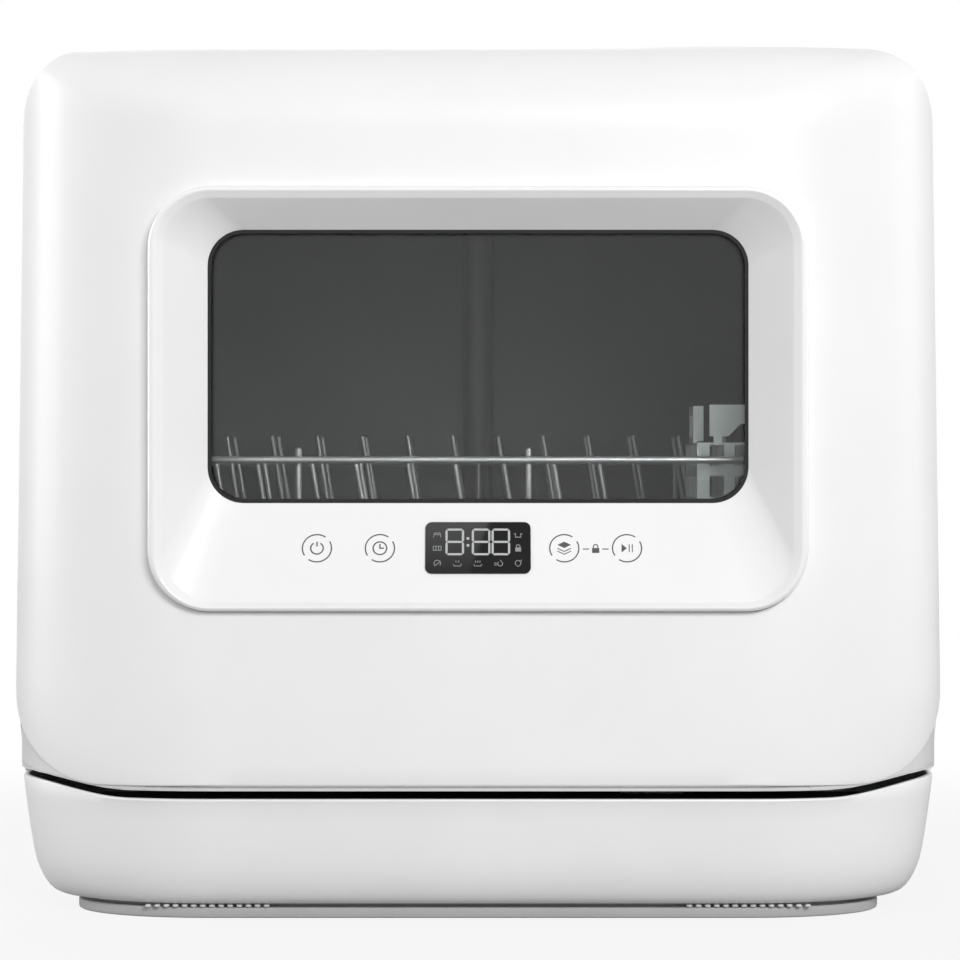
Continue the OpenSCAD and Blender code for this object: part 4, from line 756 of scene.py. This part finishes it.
def print_marks(name, strokes, fills, low, high, mat):
    """Flat strokes and filled shapes on the slope, from height low to high above it."""
    points, faces = [], []
    for path, width, closed in strokes:
        pairs = ribbon(path, width, closed)
        first = len(points)
        for left, right in pairs:
            points += [on_panel(*left, low), on_panel(*right, low),
                       on_panel(*right, high), on_panel(*left, high)]
        n = len(pairs)
        for i in range(n if closed else n - 1):
            a, b = first + 4 * i, first + 4 * ((i + 1) % n)
            faces += [(a + j, a + (j + 1) % 4, b + (j + 1) % 4, b + j) for j in range(4)]
        if not closed:
            end = first + 4 * (n - 1)
            faces += [(first + 3, first + 2, first + 1, first), (end, end + 1, end + 2, end + 3)]
    for shape in fills:
        first, n = len(points), len(shape)
        points += [on_panel(*p, low) for p in shape] + [on_panel(*p, high) for p in shape]
        faces.append(tuple(range(first + n, first + 2 * n)))
        faces.append(tuple(range(first + n - 1, first - 1, -1)))
        for i in range(n):
            a, b = first + i, first + (i + 1) % n
            faces.append((a, b, n + b, n + a))
    marks = make_piece(name, points, faces, mat, smooth=False)
    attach(marks, "door")
    return marks


def arc(cx, cv, r, start, end, steps=24):
    """Points of an arc round (cx, cv), from one angle in degrees to another."""
    return [(cx + r * math.cos(math.radians(start + (end - start) * i / steps)),
             cv + r * math.sin(math.radians(start + (end - start) * i / steps))) for i in range(steps + 1)]


def moved(shape, u, v, size=1.0):
    """A shape drawn about zero, scaled and set down at (u, v)."""
    return [(u + p[0] * size, v + p[1] * size) for p in shape]


def padlock(u, v, size):
    """Body and shackle of a padlock: (fills, strokes)."""
    body = moved([(-1.65, -2.1), (1.65, -2.1), (1.65, 0.3), (-1.65, 0.3)], u, v, size)
    shackle = [(-1.0, 0.3)] + arc(0, 1.0, 1.0, 180, 0, 12) + [(1.0, 0.3)]
    return [body], [(moved(shackle, u, v, size), 0.5 * size, False)]


POWER_U, CLOCK_U, LAYERS_U, LOCK_U, START_U = -73.4, -44.7, 39.3, 53.6, 67.9
RING_R, RING_LINE, INK = 6.63, 0.58, 0.06

# Each stroke is a path, its width, and whether it closes on itself.
strokes, fills = [], []
for u in (POWER_U, CLOCK_U, LAYERS_U, START_U):
    strokes += [(arc(u, 0, RING_R, a, b), RING_LINE, False) for a, b in ((55, 212), (236, 390))]
# On and off: an open circle and a short bar.
strokes += [(arc(POWER_U, 0, 2.85, 122, 418), 0.62, False),
            ([(POWER_U, 0.9), (POWER_U, 3.2)], 0.62, False)]
# A clock with two hands.
strokes += [(arc(CLOCK_U, 0, 3.1, 0, 360)[:-1], 0.6, True),
            ([(CLOCK_U, 2.1), (CLOCK_U, 0), (-42.9, 0)], 0.6, False)]
# A stack of three layers, the top one filled.
fills.append(moved([(3.1, 1.65), (0, 3.2), (-3.1, 1.65), (0, 0.1)], LAYERS_U, 0))
chevron = [(-3.1, 0.2), (0, -1.3), (3.1, 0.2)]
strokes += [(moved(chevron, LAYERS_U, -0.25 - k * 1.35), 0.42, False) for k in (0, 1)]
# The padlock, with a dash at each side.
lock_fill, lock_stroke = padlock(LOCK_U, -0.2, 1.0)
fills += lock_fill
strokes += lock_stroke
strokes += [([(LOCK_U + s, -0.4), (LOCK_U + s + 2.9, -0.4)], 0.5, False) for s in (-5.9, 3.0)]
# Start and pause: a triangle and two bars.
fills.append([(65.4, -2.1), (67.8, 0.0), (65.4, 2.1)])
strokes += [([(u, -1.9), (u, 1.9)], 0.42, False) for u in (68.9, 70.3)]
key_ink = make_material("Grey pad-printed ink", "454547", "39393b", 0.5, 0.4, bump=0.01)
print_marks("panel_marks", strokes, fills, 0.0, INK, key_ink)

# The display's marks lie on the lens's face, a hair high. Three digits of seven pointed bars, and a colon.
LENS_FACE, LIT = 0.8, 0.84
DIGITS_U, DIGITS_V = (-10.6, 1.4, 10.4), 2.8
SEGMENTS = [(-3.2, 6.0, 3.2, 6.0), (-3.2, 0, 3.2, 0), (-3.2, -6.0, 3.2, -6.0), (-3.75, 0.55, -3.75, 5.45),
            (3.75, 0.55, 3.75, 5.45), (-3.75, -5.45, -3.75, -0.55), (3.75, -5.45, 3.75, -0.55)]
digit_fills = []
for u in DIGITS_U:
    for a, b, c, d in SEGMENTS:
        along = Vector((c - a, d - b)).normalized() * 0.5
        across = Vector((-along.y, along.x))
        start, end = Vector((a, b)), Vector((c, d))
        shape = [start - across + along * 0.4, end - across - along * 0.4, end + along,
                 end + across - along * 0.4, start + across + along * 0.4, start - along]
        digit_fills.append(moved(shape, u, DIGITS_V))
dot = [(-0.6, -0.6), (0.6, -0.6), (0.6, 0.6), (-0.6, 0.6)]
digit_fills += [moved(dot, -4.6, v) for v in (4.5, 1.1)]
digit_grey = make_material("Pale grey display segments", "bdbfc0", "b0b2b3", 0.4, 0.3)
print_marks("display_digits", [], digit_fills, LENS_FACE, LIT, digit_grey)

# The small signs round the digits: rack, drawer, pot and padlock at the sides; leaf, two bowls, drop and
# fan in a row below. Each is a place and the paths drawn there.
ROW_V, SIGN_LINE = -7.6, 0.34
BOWL = [(-1.9, -0.4), (-1.4, -1.3), (1.4, -1.3), (1.9, -0.4)]
signs = [(-18.6, 6.2, [[(-1.7, -1.2), (-1.3, 0.9), (1.3, 0.9), (1.7, -1.2)], [(-1.2, 0.1), (1.2, 0.1)]]),
         (-18.6, -0.3, [[(-1.8, -1.0), (1.8, -1.0), (1.8, 1.0), (-1.8, 1.0), (-1.8, -1.0)],
                        [(-0.6, -1.0), (-0.6, 1.0)], [(0.6, -1.0), (0.6, 1.0)]]),
         (18.3, 6.2, [[(-1.2, 0.9), (-1.2, -1.1), (1.2, -1.1), (1.2, 0.9)],
                      [(-2.0, 0.5), (-1.2, 0.5)], [(1.2, 0.5), (2.0, 0.5)]]),
         (-18.3, ROW_V, [arc(-0.2, 0, 1.5, -40, 220, 12), [(-1.4, -1.3), (1.2, 0.9)]]),
         (-9.4, ROW_V, [BOWL] + [[(x, 0.3), (x, 1.3)] for x in (-0.6, 0.6)]),
         (-0.1, ROW_V, [BOWL] + [[(x, 0.3), (x, 1.3)] for x in (-1.0, 0.0, 1.0)]),
         (9.2, ROW_V, [[(-2.0, -0.8), (-0.4, -0.8)], [(-1.8, 0.1), (-0.6, 0.1)],
                       arc(0.9, -0.2, 1.1, 130, 410, 12) + [(0.9, 1.6)]]),
         (18.2, ROW_V, [arc(0, 0.1, 1.3, -60, 240, 12), [(-0.6, -1.4), (0.6, -1.4)],
                        [(1.2, 1.0), (1.8, 1.7)]])]
sign_strokes = [(moved(path, u, v), SIGN_LINE, False) for u, v, paths in signs for path in paths]
lock_fill, lock_stroke = padlock(18.3, -0.2, 0.8)
sign_grey = make_material("Dim grey display signs", "8f9192", "838586", 0.4, 0.3)
print_marks("display_signs", sign_strokes + lock_stroke, lock_fill, LENS_FACE, LIT, sign_grey)

# A small card that only mirrors see: it lights the upper left of the glossy lens, with a slanting edge.
# EYE is the camera's place, in metres.
MIRROR = Vector((0, -math.cos(SLOPE), math.sin(SLOPE)))
EYE = Vector((0.0009, -1.588, 0.2021))


def in_mirror(u, v, reach=1.2):
    """The point that the camera sees by way of the lens's face at (u, v), that far in front of it."""
    spot = Vector(on_panel(u, v, LENS_FACE)) * MM
    ray = (spot - EYE).normalized()
    return spot + (ray - 2 * ray.dot(MIRROR) * MIRROR) * reach


corners = [in_mirror(u, v) for u, v in ((-30, -15), (-5.2, -15), (5.9, 15), (-30, 15))]
card_mesh = bpy.data.meshes.new("mirror_card")
card_mesh.from_pydata([tuple(c) for c in corners], [], [(0, 1, 2, 3)])
card = bpy.data.objects.new("mirror_card", card_mesh)
bpy.context.scene.collection.objects.link(card)
glow = bpy.data.materials.new("Soft white card")
glow.use_nodes = True
nodes, links = glow.node_tree.nodes, glow.node_tree.links
nodes.remove(nodes["Principled BSDF"])
card_light = nodes.new("ShaderNodeEmission")
where = nodes.new("ShaderNodeTexCoord")
height = nodes.new("ShaderNodeSeparateXYZ")
links.new(where.outputs["Object"], height.inputs["Vector"])
fall = nodes.new("ShaderNodeMapRange")
fall.inputs["From Min"].default_value = min(c.z for c in corners)
fall.inputs["From Max"].default_value = max(c.z for c in corners)
fall.inputs["To Min"].default_value = 1.2
fall.inputs["To Max"].default_value = 4.2
links.new(height.outputs["Z"], fall.inputs["Value"])
links.new(fall.outputs["Result"], card_light.inputs["Strength"])
links.new(card_light.outputs[0], nodes["Material Output"].inputs["Surface"])
card_mesh.materials.append(glow)
card.visible_camera = False
card.visible_diffuse = False
card.visible_transmission = False
card.visible_shadow = False

# ---- Studio ----
# A white room and a pale floor, one soft lamp in front from the upper right, weaker lamps at both sides and
# behind, and the camera at the photograph's place: level, straight on, 1.37 m in front of the window frame.

SKY = 0.44


def larger(nodes, links, first, second):
    """A node whose value is the larger of two sockets."""
    node = nodes.new("ShaderNodeMath")
    node.operation = "MAXIMUM"
    links.new(first, node.inputs[0])
    links.new(second, node.inputs[1])
    return node.outputs["Value"]


# Plain white to camera, mirrors and glass; a dimmer white as light.
world = bpy.data.worlds.new("Studio")
bpy.context.scene.world = world
world.use_nodes = True
nodes, links = world.node_tree.nodes, world.node_tree.links
sky = nodes["Background"]
sky.inputs["Color"].default_value = (1, 1, 1, 1)
sky.inputs["Strength"].default_value = SKY
path = nodes.new("ShaderNodeLightPath")
white = nodes.new("ShaderNodeBackground")
white.inputs["Color"].default_value = (1, 1, 1, 1)
white.inputs["Strength"].default_value = 1.0
direct = larger(nodes, links, path.outputs["Is Camera Ray"], path.outputs["Is Glossy Ray"])
mix = nodes.new("ShaderNodeMixShader")
links.new(larger(nodes, links, direct, path.outputs["Is Transmission Ray"]), mix.inputs["Fac"])
links.new(sky.outputs[0], mix.inputs[1])
links.new(white.outputs[0], mix.inputs[2])
links.new(mix.outputs[0], nodes["World Output"].inputs["Surface"])

# Paper that fades to plain white away from the machine, so that no horizon shows.
floor_mesh = bpy.data.meshes.new("floor")
floor_mesh.from_pydata([(-6, -6, 0), (6, -6, 0), (6, 6, 0), (-6, 6, 0)], [], [(0, 1, 2, 3)])
floor = bpy.data.objects.new("floor", floor_mesh)
bpy.context.scene.collection.objects.link(floor)
paper = make_material("Pale paper floor", "a2a2a2", "9c9c9c", 0.85, 2.0)
nodes, links = paper.node_tree.nodes, paper.node_tree.links
place = nodes.new("ShaderNodeNewGeometry")
reach = nodes.new("ShaderNodeVectorMath")
reach.operation = "LENGTH"
links.new(place.outputs["Position"], reach.inputs[0])
fade = nodes.new("ShaderNodeMapRange")
fade.interpolation_type = "SMOOTHSTEP"
fade.inputs["From Min"].default_value = 0.30
fade.inputs["From Max"].default_value = 0.75
fade.inputs["To Min"].default_value = 0.88
links.new(reach.outputs["Value"], fade.inputs["Value"])
path = nodes.new("ShaderNodeLightPath")
plain = nodes.new("ShaderNodeEmission")
plain.inputs["Color"].default_value = (1, 1, 1, 1)
plain.inputs["Strength"].default_value = 1.0
share = nodes.new("ShaderNodeMath")
share.operation = "MULTIPLY"
seen = larger(nodes, links, path.outputs["Is Camera Ray"], path.outputs["Is Transmission Ray"])
links.new(seen, share.inputs[0])
links.new(fade.outputs["Result"], share.inputs[1])
blend = nodes.new("ShaderNodeMixShader")
links.new(share.outputs["Value"], blend.inputs["Fac"])
links.new(nodes["Principled BSDF"].outputs[0], blend.inputs[1])
links.new(plain.outputs[0], blend.inputs[2])
links.new(blend.outputs[0], nodes["Material Output"].inputs["Surface"])
floor_mesh.materials.append(paper)


def lamp(name, place, target, size, power):
    """A rectangular lamp that looks at a point; sizes in metres, power in watts."""
    data = bpy.data.lights.new(name, "AREA")
    data.shape = "RECTANGLE"
    data.size, data.size_y = size
    data.energy = power
    obj = bpy.data.objects.new(name, data)
    obj.location = place
    obj.rotation_euler = (Vector(target) - Vector(place)).to_track_quat("-Z", "Y").to_euler()
    bpy.context.scene.collection.objects.link(obj)


lamp("key", (0.7, -2.45, 1.1), (0, -0.2, 0.2), (1.0, 0.7), 38)
lamp("left_fill", (-2.2, 0.25, 0.7), (-0.1, -0.1, 0.2), (1.0, 1.2), 21)
lamp("right_fill", (2.2, 0.25, 0.7), (0.1, -0.1, 0.2), (1.0, 1.2), 8)
lamp("back_fill", (-0.5, 2.4, 1.5), (0, 0.1, 0.2), (1.4, 1.0), 17)

eye = bpy.data.cameras.new("photo_view")
eye.sensor_width = 36.0
eye.lens = 114.0
eye.clip_end = 50.0
camera = bpy.data.objects.new("photo_view", eye)
camera.location = EYE
camera.rotation_euler = (math.radians(90), 0, 0)
bpy.context.scene.collection.objects.link(camera)
bpy.context.scene.camera = camera
bpy.context.scene.view_settings.view_transform = "Standard"
